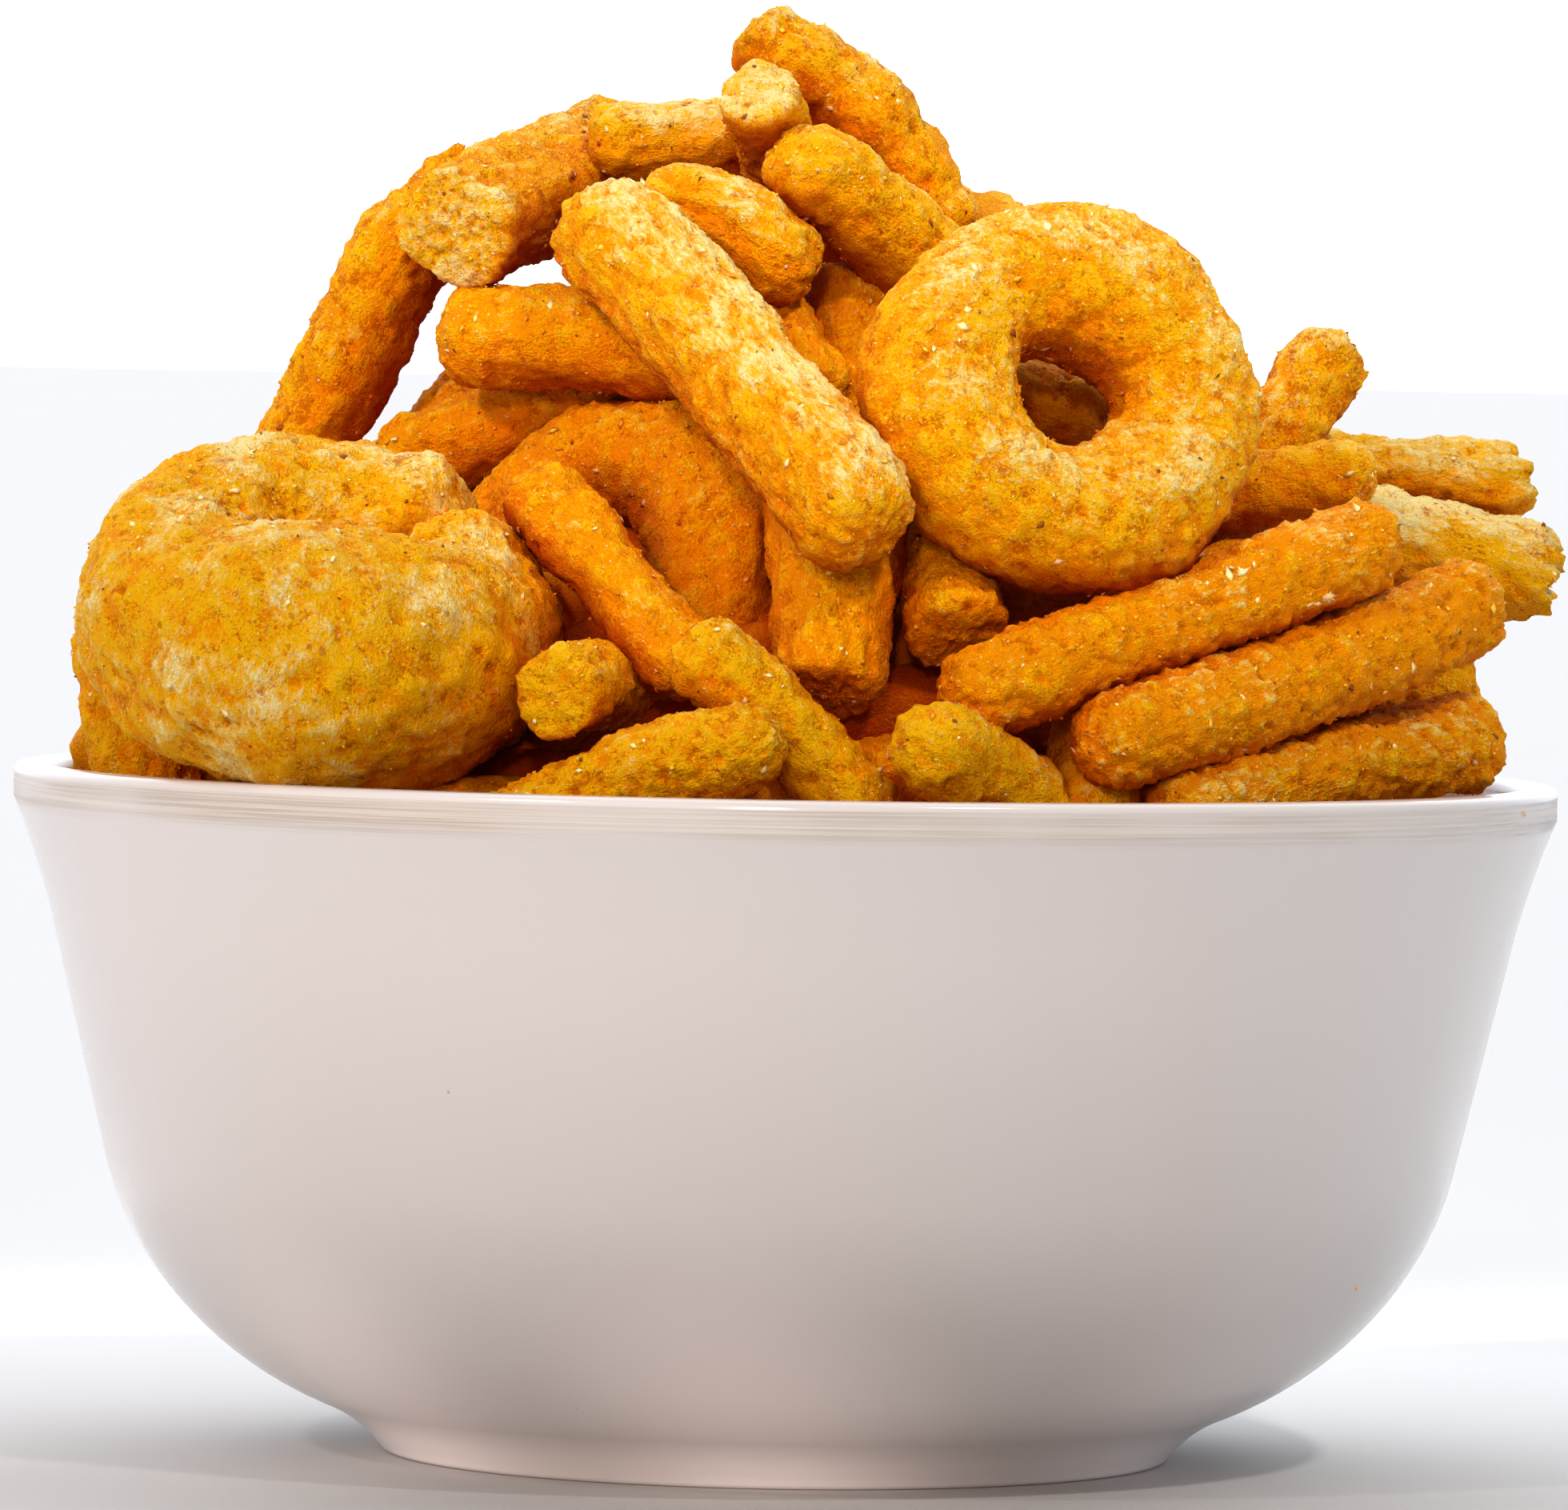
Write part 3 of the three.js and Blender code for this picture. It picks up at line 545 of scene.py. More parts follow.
def make_mesh(name, co, quads, tris, floats=(), vectors=()):
    """A smooth mesh from points in mm, with numbers or vectors kept on its points."""
    mesh = bpy.data.meshes.new(name)
    mesh.vertices.add(len(co))
    mesh.vertices.foreach_set("co", (co * MM).astype(np.float32).ravel())
    corners = np.concatenate([quads.ravel(), tris.ravel()]).astype(np.int32)
    sizes = np.concatenate([np.full(len(quads), 4), np.full(len(tris), 3)]).astype(np.int32)
    starts = np.concatenate([[0], np.cumsum(sizes)[:-1]]).astype(np.int32)
    mesh.loops.add(len(corners))
    mesh.loops.foreach_set("vertex_index", corners)
    mesh.polygons.add(len(sizes))
    mesh.polygons.foreach_set("loop_start", starts)
    mesh.update(calc_edges=True)
    mesh.shade_smooth()
    for label, values in floats:
        layer = mesh.attributes.new(label, "FLOAT", "POINT")
        layer.data.foreach_set("value", np.asarray(values, np.float32))
    for label, values in vectors:
        layer = mesh.attributes.new(label, "FLOAT_VECTOR", "POINT")
        layer.data.foreach_set("vector", np.asarray(values, np.float32).ravel())
    piece = bpy.data.objects.new(name, mesh)
    bpy.context.scene.collection.objects.link(piece)
    return piece


NEAR = 26  # puffs farther off than this don't close a place in


def closed_in(co, normal, balls):
    """Painted shade for each point, 0 to 1: how closed in it is by the puffs in front of it or
    above it, and how much it faces down.
    """
    middle = co.mean(0)
    reach = np.linalg.norm(co - middle, axis=1).max() + NEAR
    covered = np.zeros(len(co))
    for x, y, z, radius in balls[np.linalg.norm(balls[:, :3] - middle, axis=1) < reach]:
        away = vec(x, y, z) - co
        square = (away * away).sum(1)
        facing = (away * normal).sum(1)
        square = np.maximum(square, radius * radius)
        covered += np.maximum(facing, 0) * radius * radius * square ** -1.5
    return 1 - np.exp(-0.50 * covered - 0.35 * ramp(-normal[:, 2], -0.7, 0.8))


def puff_piece(name, puffs, spacing, first, material, shade=0.0):
    """One piece out of these puffs; shade is painted shade added to theirs, as if they lay deeper
    in the heap.
    """
    made = crusted(puffs, spacing, first)
    made["painted_shade"] = np.minimum(made["painted_shade"] + shade, 1)
    piece = make_mesh(name, made["co"], made["quads"], made["tris"],
                      [(k, made[k]) for k in ("dusting_and_shade", "pale", "toast", "painted_shade")],
                      [("grain", made["grain"])])
    finish_piece(piece, "puff_heap", material)
    print(name, 2 * len(made["quads"]) + len(made["tris"]), "triangles")
    return made


def finish_piece(piece, node, material):
    """Its material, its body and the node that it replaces."""
    piece.data.materials.append(material)
    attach(piece, "root")
    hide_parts(node)


# ---- materials ----------------------------------------------------------------------------


class Nodes:
    """Short hands for building the nodes of a material or world."""

    def __init__(self, owner, shader="Principled BSDF"):
        owner.use_nodes = True
        self.owner, self.tree = owner, owner.node_tree
        self.shader = self.tree.nodes[shader]

    SETTINGS = ("operation", "attribute_name", "interpolation_type")

    def put(self, kind, out=0, **given):
        """A new node's output. i0, i1 and i2 are inputs by number, the rest go by name."""
        node = self.tree.nodes.new("ShaderNode" + kind)
        for key, value in given.items():
            if key in self.SETTINGS:
                setattr(node, key, value)
            elif key in ("i0", "i1", "i2"):
                self.set(node.inputs[int(key[1])], value)
            else:
                self.set(node.inputs[key.replace("_", " ")], value)
        return node.outputs[out]

    def set(self, socket, value):
        if isinstance(value, bpy.types.NodeSocket):
            self.tree.links.new(value, socket)
        else:
            socket.default_value = value

    def attribute(self, name, vector=False):
        return self.put("Attribute", out=1 if vector else 2, attribute_name=name)

    def scaled(self, vector, by):
        return self.put("VectorMath", operation="MULTIPLY", i0=vector, i1=by)

    def noise(self, vector, scale, detail=2.0, roughness=0.5, colour=False):
        return self.put("TexNoise", out=1 if colour else 0, Vector=vector, Scale=scale,
                        Detail=detail, Roughness=roughness)

    def math(self, operation, a, b=0.0, c=0.0):
        return self.put("Math", operation=operation, i0=a, i1=b, i2=c)

    def range(self, value, low, high, to_low=0.0, to_high=1.0):
        return self.put("MapRange", interpolation_type="SMOOTHSTEP", Value=value,
                        From_Min=low, From_Max=high, To_Min=to_low, To_Max=to_high)

    def sum(self, first, *terms):
        """The first value and each other one times its weight."""
        for value, weight in terms:
            first = self.math("MULTIPLY_ADD", value, weight, first)
        return first

    def mix(self, share, a, b):
        node = self.tree.nodes.new("ShaderNodeMix")
        node.data_type = "RGBA"
        self.set(node.inputs[0], share)
        self.set(node.inputs[6], a)
        self.set(node.inputs[7], b)
        return node.outputs[2]

    def spots(self, vector, scale, radius, rarity):
        """Small round spots, in the cells of the pattern whose number is under rarity."""
        node = self.tree.nodes.new("ShaderNodeTexVoronoi")
        self.set(node.inputs["Vector"], vector)
        self.set(node.inputs["Scale"], scale)
        own = self.put("SeparateColor", i0=node.outputs["Color"])
        near = self.range(node.outputs["Distance"], radius * 0.6, radius, 1.0, 0.0)
        return self.math("MULTIPLY", near, self.math("LESS_THAN", own, rarity))

    def bump(self, height, distance, strength, below=None):
        inputs = dict(Height=height, Distance=distance, Strength=strength)
        if below is not None:
            inputs["Normal"] = below
        return self.put("Bump", **inputs)


def rgb(r, g, b):
    return (r, g, b, 1.0)


THIN_DUSTING, THICK_DUSTING_AND_SHADE = rgb(1.0, 0.52, 0.003), rgb(0.97, 0.31, 0.0005)
PUFFED_CORN, RAISED_FLAKE = rgb(1.0, 0.62, 0.12), rgb(1.0, 0.79, 0.31)
TOASTED, RED_GRAIN = rgb(0.62, 0.15, 0.001), rgb(0.45, 0.06, 0.0005)
BLACK_SPECK, CRYSTAL_GLINT = rgb(0.10, 0.012, 0.001), rgb(1.0, 0.85, 0.35)
# Painted shade: UNSHADED leaves a colour as it is, PAINTED_AMBER_SHADE darkens it to a deeper
# orange and PAINTED_DEEPEST_SHADE is the darkest shade.
UNSHADED, PAINTED_AMBER_SHADE = rgb(1.0, 1.0, 1.0), rgb(1.0, 0.70, 0.25)
PAINTED_DEEPEST_SHADE, CRUST_SHEEN = rgb(0.42, 0.028, 0.0003), rgb(1.0, 0.66, 0.12)


def puff_material():
    n = Nodes(bpy.data.materials.new("corn_puff_crust"))
    grain = n.attribute("grain", vector=True)
    dusting_and_shade, pale, toast, painted_shade = (n.attribute(k) for k in ("dusting_and_shade", "pale", "toast", "painted_shade"))
    strands = n.noise(n.scaled(grain, (1.0, 1.0, 0.45)), 1.9, 3.0, 0.75)
    grit = n.noise(grain, 3.0, 3.0, 0.8)
    ragged = n.put("VectorMath", operation="ADD", i0=grain,
                   i1=n.scaled(n.noise(grain, 2.2, 0.0, 0.5, colour=True), (0.6, 0.6, 0.6)))

    # the dusting: yellow where thin, orange where thick or in a hollow, and orange as painted
    # shade on puffs given a deep tone
    dusting = n.mix(n.range(n.sum(dusting_and_shade, (grit, 1.5)), 0.74, 1.04), THIN_DUSTING,
                    THICK_DUSTING_AND_SHADE)
    # pale puffed corn where the dusting missed it, whitest on raised flakes, and paler as a
    # painted highlight on the side facing FROST_AND_HIGHLIGHT_SIDE
    bare = n.sum(pale, (strands, 1.1), (grit, 0.5))
    colour = n.mix(n.range(bare, 1.03, 1.17, 0.0, 0.85), dusting, PUFFED_CORN)
    colour = n.mix(n.range(bare, 1.19, 1.27), colour, RAISED_FLAKE)
    # toasted blotches, reddish grains, brown and black specks, bright crystals that are partly
    # painted glints
    colour = n.mix(n.range(n.sum(toast, (grit, 0.9)), 0.55, 0.71, 0.0, 0.8), colour,
                   TOASTED)
    colour = n.mix(n.math("MULTIPLY", n.spots(ragged, 1.0, 0.36, 0.20), 0.45), colour,
                   RED_GRAIN)
    colour = n.mix(n.math("MULTIPLY", n.spots(ragged, 0.36, 0.075, 0.28), 0.9), colour,
                   BLACK_SPECK)
    # bright crystals, partly painted glints, also glossier
    glint = n.spots(grain, 1.9, 0.22, 0.20)
    colour = n.mix(n.math("MULTIPLY", glint, 0.8), colour, CRYSTAL_GLINT)
    # painted shade: where a point is closed in by puffs or faces down, its colour is made a
    # deeper, darker orange, standing in for light that has gone through or between puffs; the
    # deepest places go darkest
    amber_shade = n.mix(n.range(painted_shade, 0.1, 0.7), UNSHADED, PAINTED_AMBER_SHADE)
    colour = n.scaled(colour, amber_shade)
    colour = n.mix(n.math("MULTIPLY", n.range(painted_shade, 0.55, 0.90), 0.97), colour,
                   PAINTED_DEEPEST_SHADE)
    n.set(n.shader.inputs["Base Color"], colour)
    n.set(n.shader.inputs["Roughness"],
          n.range(n.math("ADD", grit, glint), 0.3, 1.3, 0.80, 0.45))
    n.shader.inputs["Specular IOR Level"].default_value = 0.14
    n.shader.inputs["Specular Tint"].default_value = CRUST_SHEEN
    rough = n.math("ADD", strands, grit)
    n.set(n.shader.inputs["Normal"], n.bump(rough, 0.0009, 0.85))
    return n.owner


def grain_material():
    """Grains of tone 0 to 0.9 are golden to orange, above that brown, and pale at -1; painted
    shade darkens them to deep red where they lie closed in.
    """
    n = Nodes(bpy.data.materials.new("seasoning_grain"))
    tone = n.attribute("tone")
    colour = n.mix(n.range(tone, 0.2, 0.8), rgb(1.0, 0.60, 0.04), rgb(0.9, 0.30, 0.002))
    colour = n.mix(n.range(tone, 0.90, 0.92), colour, rgb(0.22, 0.07, 0.002))
    colour = n.mix(n.range(tone, -0.5, -0.1, 1.0, 0.0), colour, rgb(1.0, 0.82, 0.34))
    # painted shade: deep red where the grain lies closed in
    colour = n.mix(n.attribute("painted_shade"), colour, rgb(0.5, 0.03, 0.0005))
    n.set(n.shader.inputs["Base Color"], colour)
    n.shader.inputs["Roughness"].default_value = 0.55
    n.shader.inputs["Specular IOR Level"].default_value = 0.2
    return n.owner


def bowl_material():
    """Glossy off-white melamine; band is 1 where the rim is sanded matt."""
    n = Nodes(bpy.data.materials.new("bowl_melamine"))
    place = n.put("TexCoord", out=3)
    band = n.attribute("band")
    tint = n.noise(place, 26.0, 2.0, 0.5)
    body = n.mix(tint, rgb(0.725, 0.685, 0.667), rgb(0.710, 0.672, 0.655))
    streaks = n.noise(n.scaled(place, (22.0, 22.0, 4200.0)), 1.0, 3.0, 0.75)
    grey = n.range(n.noise(n.scaled(place, (50.0, 50.0, 2300.0)), 1.0, 4.0, 0.8), 0.50, 0.60)
    right = n.range(n.put("SeparateXYZ", i0=place), 0.050, 0.067)
    worn = n.noise(n.scaled(place, (34.0, 34.0, 120.0)), 1.0, 2.0, 0.5)
    sanded = n.mix(n.range(streaks, 0.40, 0.62), rgb(0.45, 0.39, 0.33), rgb(0.66, 0.59, 0.51))
    band = n.math("MULTIPLY", band, n.range(worn, 0.35, 0.65, 0.45, 1.0))
    colour = n.mix(n.math("MULTIPLY", band, 0.85), body, sanded)
    colour = n.mix(n.math("MULTIPLY", n.math("MULTIPLY", grey, right), band), colour,
                   rgb(0.36, 0.37, 0.38))
    colour = n.mix(n.math("MULTIPLY", n.spots(place, 170.0, 0.035, 0.16), 0.55), colour,
                   rgb(0.30, 0.26, 0.24))
    n.set(n.shader.inputs["Base Color"], colour)
    n.set(n.shader.inputs["Roughness"], n.range(band, 0.0, 1.0, 0.17, 0.42))
    n.shader.inputs["Specular IOR Level"].default_value = 0.5
    peel = n.bump(n.noise(place, 900.0, 2.0, 0.5), 0.00002, 0.35)
    scratch = n.math("MULTIPLY", streaks, band)
    n.set(n.shader.inputs["Normal"], n.bump(scratch, 0.00008, 0.6, peel))
    return n.owner


def floor_material():
    """White, with a painted shadow: greyer under the bowl, where white would light the foot too
    much.
    """
    n = Nodes(bpy.data.materials.new("studio_floor"))
    place = n.put("TexCoord", out=3)
    soft = n.noise(place, 1.4, 2.0, 0.5)
    away = n.put("VectorMath", out=1, operation="LENGTH", i0=place)
    white = n.mix(soft, rgb(0.93, 0.93, 0.93), rgb(0.91, 0.91, 0.915))
    # painted shadow: grey near the bowl, white further off
    n.set(n.shader.inputs["Base Color"],
          n.mix(n.range(away, 0.04, 0.15), rgb(0.58, 0.57, 0.56), white))
    n.shader.inputs["Roughness"].default_value = 0.85
    n.shader.inputs["Specular IOR Level"].default_value = 0.1
    return n.owner


# ---- the bowl -----------------------------------------------------------------------------


def curve(points, steps=10):
    """Points of a Bezier curve after its first one."""
    t = np.linspace(0, 1, steps + 1)[1:, None]
    rows = [np.tile(np.array(p, float), (steps, 1)) for p in points]
    while len(rows) > 1:
        rows = [a + (b - a) * t for a, b in zip(rows, rows[1:])]
    return [tuple(p) for p in rows[0]]


def bowl_profile():
    """From the middle of the underside, round the outside and the rim, to the inner floor."""
    inner_foot = FOOT_RADIUS - FOOT_EDGE - FOOT_WIDTH
    lip = RIM_RADIUS - WALL
    p = [(0, RECESS), (inner_foot - RECESS, RECESS), (inner_foot, 0),
         (FOOT_RADIUS - FOOT_EDGE, 0)]

    def to(*points, steps=10):
        p.extend(curve([p[-1], *points], steps))

    to((FOOT_RADIUS, 0), (FOOT_RADIUS + 0.4, FOOT_EDGE), steps=6)
    to((NECK_RADIUS, NECK_HEIGHT), steps=2)
    to((38.9, 3.6), (UNDERSIDE_RADIUS, UNDERSIDE_HEIGHT))
    to((51.8, 8.9), (59, 17.5), (HAUNCH_RADIUS, HAUNCH_HEIGHT), steps=18)
    to((KINK_RADIUS, KINK_HEIGHT), steps=4)
    to((68.1, 54.6), (RIM_RADIUS, HEIGHT - BAND_HEIGHT), steps=8)
    band_start = len(p) - 1
    to((RIM_RADIUS, HEIGHT - EDGE_ROUND), steps=4)
    band_end = len(p)
    to((RIM_RADIUS, HEIGHT), (RIM_RADIUS - EDGE_ROUND, HEIGHT), steps=8)
    to((lip + EDGE_ROUND, HEIGHT), steps=2)
    to((lip, HEIGHT), (lip, HEIGHT - 1.5 * EDGE_ROUND), steps=8)
    to((KINK_RADIUS - WALL, KINK_HEIGHT), steps=6)
    to((HAUNCH_RADIUS - WALL, HAUNCH_HEIGHT), steps=4)
    to((55.4, 17), (45, FLOOR_HEIGHT + 1.8), (FLOOR_RADIUS, FLOOR_HEIGHT), steps=12)
    to((0, FLOOR_HEIGHT), steps=3)
    return np.array(p, float), band_start, band_end


def turned(profile, around):
    """A closed surface of revolution whose profile starts and ends on the axis."""
    angle = np.arange(around) * 2 * math.pi / around
    r, z = profile[1:-1, :1], profile[1:-1, 1:]
    grid = np.stack([r * np.cos(angle), r * np.sin(angle), z + 0 * r * angle], 2)
    poles = np.array([[0, 0, profile[0, 1]], [0, 0, profile[-1, 1]]])
    quads, tris = tube_faces(len(r), around, False)
    return np.concatenate([grid.reshape(-1, 3), poles]), quads, tris


BOWL_AROUND, BED_AROUND = 288, 150


def make_bowl():
    profile, band_start, band_end = bowl_profile()
    co, quads, tris = turned(profile, BOWL_AROUND)
    row = np.arange(1, len(profile) - 1)
    band = np.repeat(((row >= band_start) & (row < band_end)).astype(float), BOWL_AROUND)
    piece = make_mesh("bowl_shell", co, quads, tris, [("band", np.append(band, [0, 0]))])
    piece.data.set_sharp_from_angle(angle=math.radians(32))
    finish_piece(piece, "bowl", bowl_material())


# ---- the heap -----------------------------------------------------------------------------


def make_bed(material):
    """What shows in the gaps between the puffs: a lumpy bed of the ones underneath, darkened
    with painted shade all over.
    """
    wall = WALL + 1.2
    p = [(0, FLOOR_HEIGHT + 1), (FLOOR_RADIUS - 1, FLOOR_HEIGHT + 1)]
    p += curve([p[-1], (44, 8), (53.8, 18), (HAUNCH_RADIUS - wall, HAUNCH_HEIGHT)], 8)
    p += curve([p[-1], (61, 46)], 8)
    p += curve([p[-1], (60, 50.5), (52, 50.5)], 8)
    p += curve([p[-1], (44, 51), (42, 60)], 8)
    p += curve([p[-1], (38, 80), (14, 84), (0, 84)], 34)
    profile = np.array(p, float)
    co, quads, tris = turned(profile, BED_AROUND)
    spot, _ = nearest(co / 9.5, 23)
    lumps = (1 - np.minimum(spot / 0.85, 1) ** 2 - 0.6) * 4.2 + noise(co / 2.2, 29) * 0.5
    radial = co - vec(0, 0, CORE_CENTRE - 4)
    radial /= np.maximum(np.linalg.norm(radial, axis=1, keepdims=True), 1e-6)
    free = ramp(co[:, 2], 47, 54)
    co = co + radial * (lumps * free)[:, None]
    flat = np.zeros(len(co))
    # painted shade: the bed counts as deep in shade all over
    piece = make_mesh("heap_bed", co, quads, tris,
                      [("dusting_and_shade", flat + 0.4), ("pale", flat), ("toast", lumps * 0.02),
                       ("painted_shade", flat + 0.8)], [("grain", co)])
    finish_piece(piece, "puff_heap", material)


def under_puffs():
    """Sticks that lie on the core under the outer ones, by the same draws each time."""
    draw = numbers(UNDER_SEED)
    puffs = []
    for height, count in UNDER_ROWS:
        for i in range(count):
            around = 2 * math.pi * (i + 0.6 * next(draw)) / count + height
            level = (height - CORE_CENTRE) / CORE_RISE
            reach = (CORE_RADIUS - 2.5) * math.sqrt(max(0, 1 - level * level))
            slope = math.atan2(level * CORE_RADIUS, max(reach, 1))
            c, s = math.cos(around), math.sin(around)
            centre = vec(reach * c, reach * s, height - 2)
            sideways = vec(-s, c, 0)
            downhill = vec(c * math.sin(slope), s * math.sin(slope), -math.cos(slope))
            turn = (next(draw) - 0.5) * math.pi
            along = sideways * math.cos(turn) + downhill * math.sin(turn)
            half = along * (6 + 5 * next(draw))
            across = 7.4 + 2.4 * next(draw)
            puffs.append(stick(centre - half, centre + half, across, (0, 0, 0), "round round",
                               0.8, 0.1, "fine"))
    # behind the front of the rim, where the bed would show from above
    count, start, turned_by, reach, height, across = FRONT_ROW
    for i in range(count):
        around = math.radians(start + turned_by * i)
        turn = around + math.pi / 2 + 0.7 * (next(draw) - 0.5)
        centre = vec(reach * math.cos(around), reach * math.sin(around),
                     height + 1.5 * next(draw))
        half = (7 + 2 * next(draw)) * vec(math.cos(turn), math.sin(turn), 0)
        puffs.append(stick(centre - half, centre + half, across, (0, 0, 0), "round round",
                           0.7, 0.3, "fine"))
    return puffs


# Where little heaps of loose flakes lie between the sticks at the right.
CRUMBS = [(39.4, -42, 83.4), (48.1, -38, 78.6), (17, -47, 66)]
FLAKES_IN_CRUMB = 9
# Specks of seasoning on the outside of the bowl: their places.
STRAY = [(65.7, -24.4, 60.3), (51.2, -30.4, 18.4)]
GRAIN_COUNT, GRAIN_SEED = 9000, 5
GRAIN_SIZE, FLAKE_SIZE = (0.09, 0.17), (0.16, 0.30)  # mm: the least, and how much more
FLAKY_SHARE, PALE_SHARE, PALE_TONE, GRAIN_LIFT = 0.35, 0.4, -1, 0.05
# An eight-sided bit: its corners and faces.
BIT_CORNERS = np.array([[1, 0, 0], [-1, 0, 0], [0, 1, 0], [0, -1, 0], [0, 0, 1], [0, 0, -1]],
                       float)
BIT_FACES = np.array([[0, 2, 4], [2, 1, 4], [1, 3, 4], [3, 0, 4],
                      [2, 0, 5], [1, 2, 5], [3, 1, 5], [0, 3, 5]])


def make_grains(made, count, material):
    """Grains and flakes of seasoning that cling to the crust, each a small eight-sided bit."""
    rng = np.random.default_rng(GRAIN_SEED)
    at = np.concatenate([m["co"] for m in made])
    normal = np.concatenate([m["normal"] for m in made])
    painted_shade = np.concatenate([m["painted_shade"] for m in made])
    pick = rng.choice(len(at), count, replace=False)
    pick[-len(STRAY):] = len(at) + np.arange(len(STRAY))
    outward = np.array([unit(vec(x, y, 0)) for x, y, _ in STRAY])
    at, normal = np.concatenate([at, STRAY]), np.concatenate([normal, outward])
    painted_shade = np.append(painted_shade, [0.0] * len(STRAY))
    size = GRAIN_SIZE[0] + GRAIN_SIZE[1] * rng.random(count) ** 2
    tone = rng.random(count)
    flaky = rng.random(count) < FLAKY_SHARE
    size[flaky] = FLAKE_SIZE[0] + FLAKE_SIZE[1] * rng.random(flaky.sum()) ** 2
    tone[flaky & (rng.random(count) < PALE_SHARE)] = PALE_TONE
    for i in range(len(CRUMBS) * FLAKES_IN_CRUMB):
        place = vec(*CRUMBS[i // FLAKES_IN_CRUMB]) + rng.normal(size=3) * vec(0.7, 0.3, 0.3)
        pick[i] = np.argmin(((at - place) ** 2).sum(1))
        size[i], tone[i], flaky[i] = 0.3 + 0.25 * rng.random(), PALE_TONE, True
    size[-len(STRAY):], tone[-len(STRAY):], flaky[-len(STRAY):] = 0.3, 0.3, True
    up = np.where(flaky[:, None], normal[pick] + 0.35 * rng.normal(size=(count, 3)),
                  rng.normal(size=(count, 3)))
    up /= np.linalg.norm(up, axis=1, keepdims=True)
    side = np.cross(up, rng.normal(size=(count, 3)))
    side /= np.linalg.norm(side, axis=1, keepdims=True)
    turn = np.stack([side, np.cross(up, side), up], 1)
    shape = BIT_CORNERS[None] * (0.55 + 0.9 * rng.random((count, 6, 1)))
    shape = shape * np.where(flaky[:, None], vec(1.5, 0.8, 0.22), 1.0)[:, None]
    co = np.einsum("nij,njk->nik", shape, turn) * size[:, None, None]
    co += (at[pick] + normal[pick] * GRAIN_LIFT)[:, None]
    tris = (BIT_FACES[None] + 6 * np.arange(count)[:, None, None]).reshape(-1, 3)
    piece = make_mesh("seasoning_grains", co.reshape(-1, 3), np.zeros((0, 4), int), tris,
                      [("tone", np.repeat(tone, 6)), ("painted_shade", np.repeat(painted_shade[pick], 6))])
    finish_piece(piece, "puff_heap", material)


make_bowl()
shown = [stick(*row) for row in SHOWN_STICKS] + [ring(*row) for row in SHOWN_RINGS]
props = [stick(*row, 0.5, 0.4, "fine") for row in PROP_STICKS]
puffs = settle(shown, loose_puffs(props))
front, behind = puffs[:len(shown)], puffs[len(shown):]
BALLS = np.concatenate([np.column_stack([at, np.full(len(at), radius)])
                        for at, radius in map(balls_of, puffs)])
crust = puff_material()
THICK_STICK = 8.6  # mm across, and more
coarse = 1.0
thin = [p for p in front if 0 < p.get("across", 0) < THICK_STICK]
# Each piece: its name, its puffs, the spacing of its points in mm, and where in the crust's
# pattern its first puff starts.
PIECES = [
    ("thick_sticks", [p for p in front if p.get("across", 0) >= THICK_STICK], 0.39, 0),
    ("thin_sticks", [p for p in thin if p["crust"] != "pebble"], 0.36, 30),
    ("pebbly_sticks", [p for p in thin if p["crust"] == "pebble"], 0.36, 50),
    ("rings", [p for p in front if "tube" in p], 0.38, 60),
    ("back_sticks", [p for p in behind if "across" in p], 0.85, 70),
    ("back_rings", [p for p in behind if "tube" in p], 0.85, 110),
]
made = [puff_piece(name, some, spacing * coarse, first, crust)
        for name, some, spacing, first in PIECES]
# The sticks underneath get more painted shade.
puff_piece("under_sticks", under_puffs(), 1.5 * coarse, 130, crust, shade=0.2)
make_bed(crust)
make_grains(made, GRAIN_COUNT, grain_material())

# ---- floor, light and view ----------------------------------------------------------------

FLOOR_HALF = 45000.0
corners = FLOOR_HALF * np.array([[-1, -1, 0], [1, -1, 0], [1, 1, 0], [-1, 1, 0]])
floor = make_mesh("studio_floor", corners, np.array([[0, 1, 2, 3]]), np.zeros((0, 3), int))
floor.data.materials.append(floor_material())


def towards(azimuth, elevation):
    """Azimuth 0 is the camera's side, 90 its right."""
    a, e = math.radians(azimuth), math.radians(elevation)
    return Vector((math.sin(a) * math.cos(e), -math.cos(a) * math.cos(e), math.sin(e)))


LAMP_AWAY = 0.9  # metres


def soft_spot(name, azimuth, elevation, aim, reach, size, power, colour):
    """A soft lamp whose light reaches so far round the point that it aims at."""
    aim = Vector(aim)
    lamp = bpy.data.objects.new(name, bpy.data.lights.new(name, "SPOT"))
    bpy.context.scene.collection.objects.link(lamp)
    lamp.location = aim + LAMP_AWAY * towards(azimuth, elevation)
    lamp.rotation_euler = (aim - lamp.location).to_track_quat("-Z", "Y").to_euler()
    lamp.data.energy = power
    lamp.data.color = colour
    lamp.data.spot_size = 2 * math.atan(reach / LAMP_AWAY)
    lamp.data.spot_blend = 1.0
    lamp.data.shadow_soft_size = size


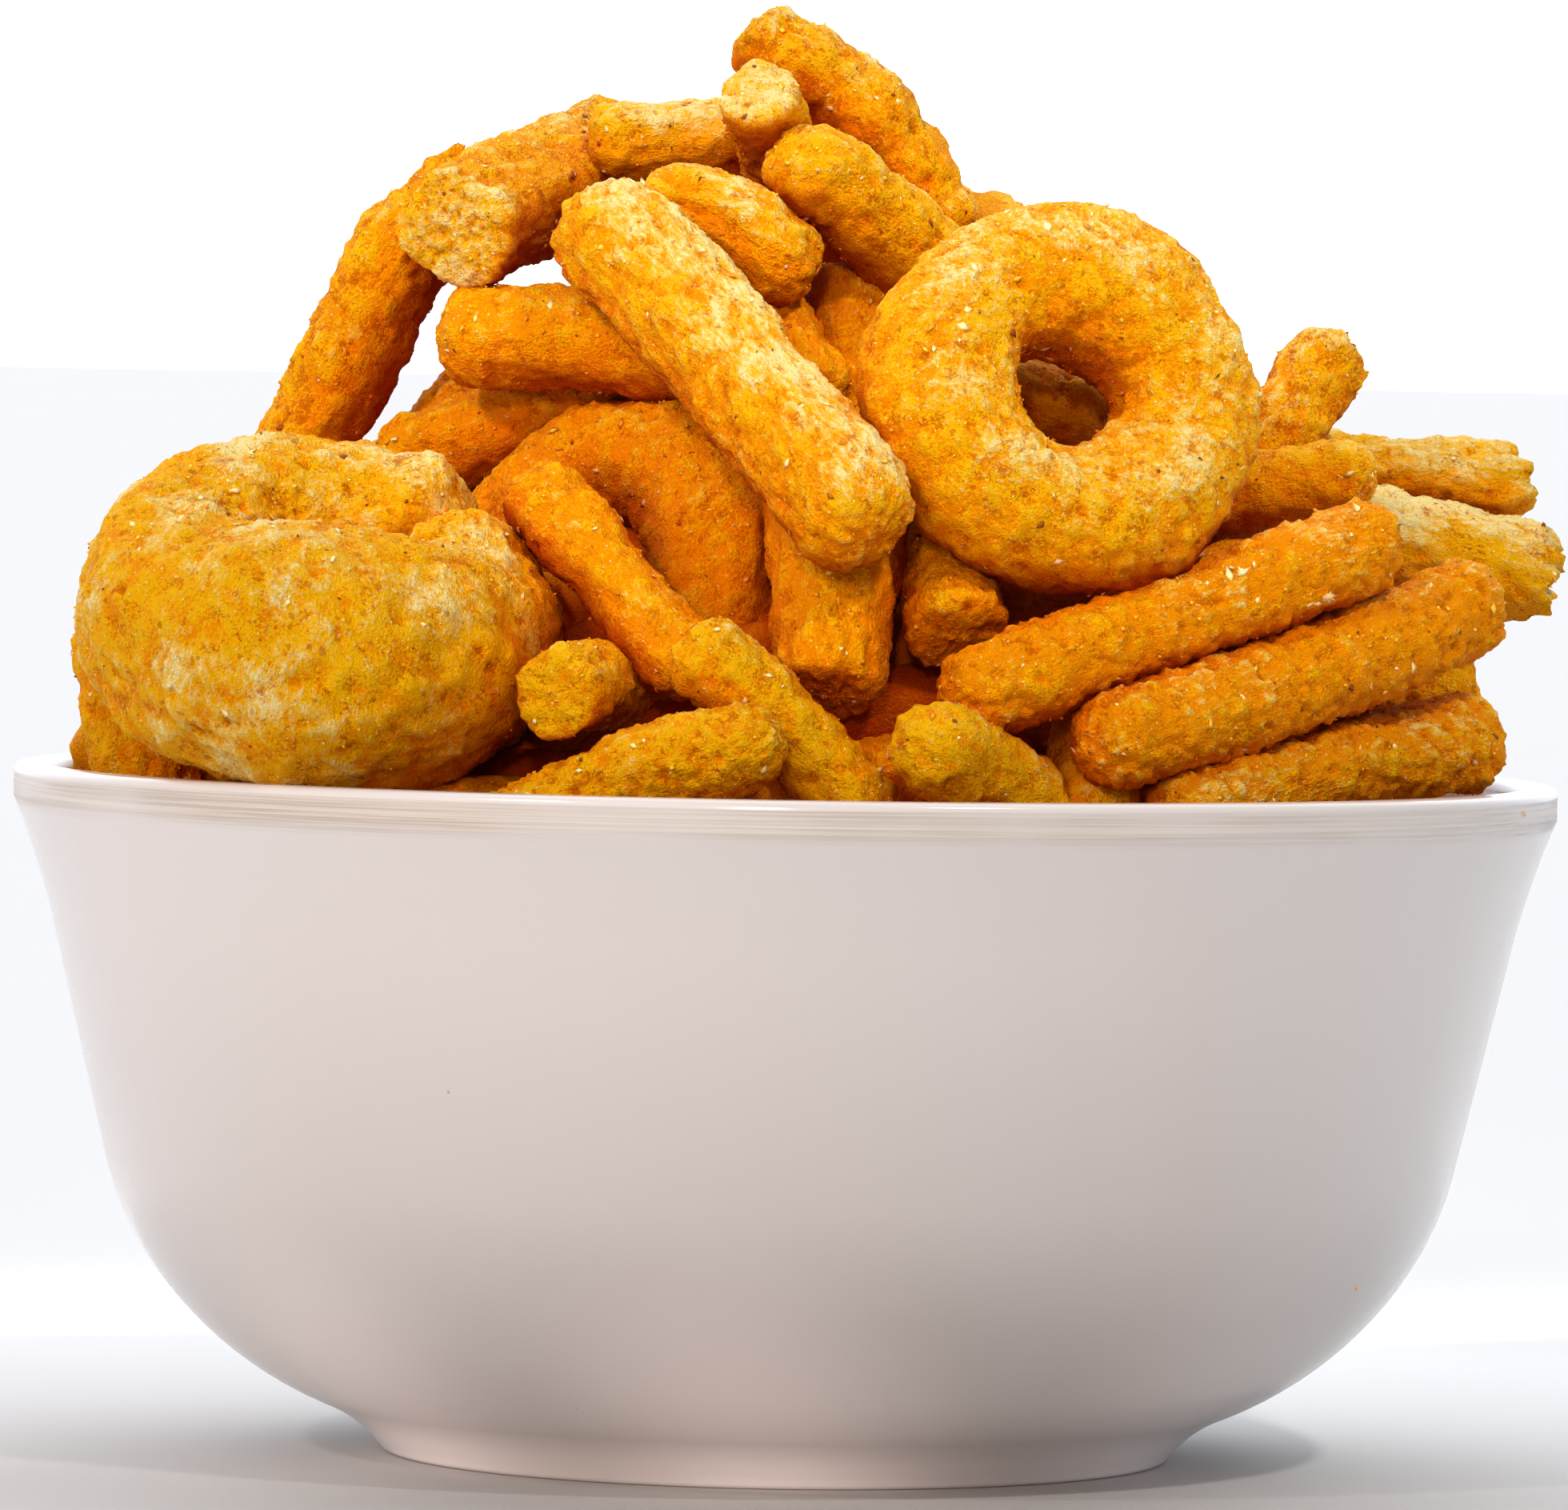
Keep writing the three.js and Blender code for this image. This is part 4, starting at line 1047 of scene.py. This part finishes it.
WHITE_LAMP, WARM_LAMP = (1.0, 0.98, 0.94), (1.0, 0.95, 0.88)
PINK_LAMP, COOL_LAMP = (1.0, 0.84, 0.78), (1.0, 0.94, 0.98)
soft_spot("heap_light_right", 32, 48, (0.022, 0, 0.084), 0.088, 0.06, 31, WHITE_LAMP)
soft_spot("heap_light_left", -42, 36, (-0.016, 0, 0.086), 0.084, 0.06, 26, WHITE_LAMP)
soft_spot("heap_light_front", -4, 20, (0, 0, 0.088), 0.068, 0.05, 13, WARM_LAMP)
soft_spot("foot_light_left", -30, 2, (-0.022, 0, -0.003), 0.020, 0.012, 26, PINK_LAMP)
soft_spot("foot_light_front", -10, 2, (0.006, 0, -0.003), 0.020, 0.012, 22, PINK_LAMP)
soft_spot("foot_light_right", 28, 2, (0.026, 0, -0.003), 0.020, 0.012, 11, COOL_LAMP)

# Soft light from all round, as lobes: azimuth and elevation of the middle, cosines of its
# outer and inner edge, strength and tint.
LOBES = [
    (-40, 5, 0.45, 0.95, 1.08, (1.06, 0.82, 0.71)),
    (0, 8, 0.45, 0.95, 0.23, (1.10, 0.84, 0.73)),
    (0, 90, 0.50, 1.00, 0.23, (1.00, 1.00, 1.00)),
    (180, 45, 0.45, 0.95, 1.60, (0.97, 1.00, 1.00)),
    (-90, 15, 0.50, 1.00, 0.16, (0.80, 1.05, 1.15)),
    (90, 15, 0.50, 1.00, 0.05, (0.80, 1.05, 1.20)),
    (-135, 10, 0.50, 1.00, 0.33, (0.95, 0.97, 1.18)),
    (135, 10, 0.50, 1.00, 0.22, (0.88, 0.98, 1.28)),
    (180, 5, 0.35, 0.85, 0.52, (0.85, 1.00, 1.30)),
]

n = Nodes(bpy.data.worlds.new("studio_world"), "Background")
bpy.context.scene.world = n.owner
direction = n.put("TexCoord")
total = None
for azimuth, elevation, outer, inner, strength, tint in LOBES:
    dot = n.put("VectorMath", out=1, operation="DOT_PRODUCT", i0=direction,
                i1=towards(azimuth, elevation))
    share = n.range(dot, outer, inner, 0.0, strength)
    lit = n.put("VectorMath", operation="SCALE", i0=tint, Scale=share)
    total = lit if total is None else n.put("VectorMath", operation="ADD", i0=total, i1=lit)
n.set(n.shader.inputs["Color"], total)

view = bpy.context.scene.view_settings
view.view_transform = "Standard"
view.look = "None"
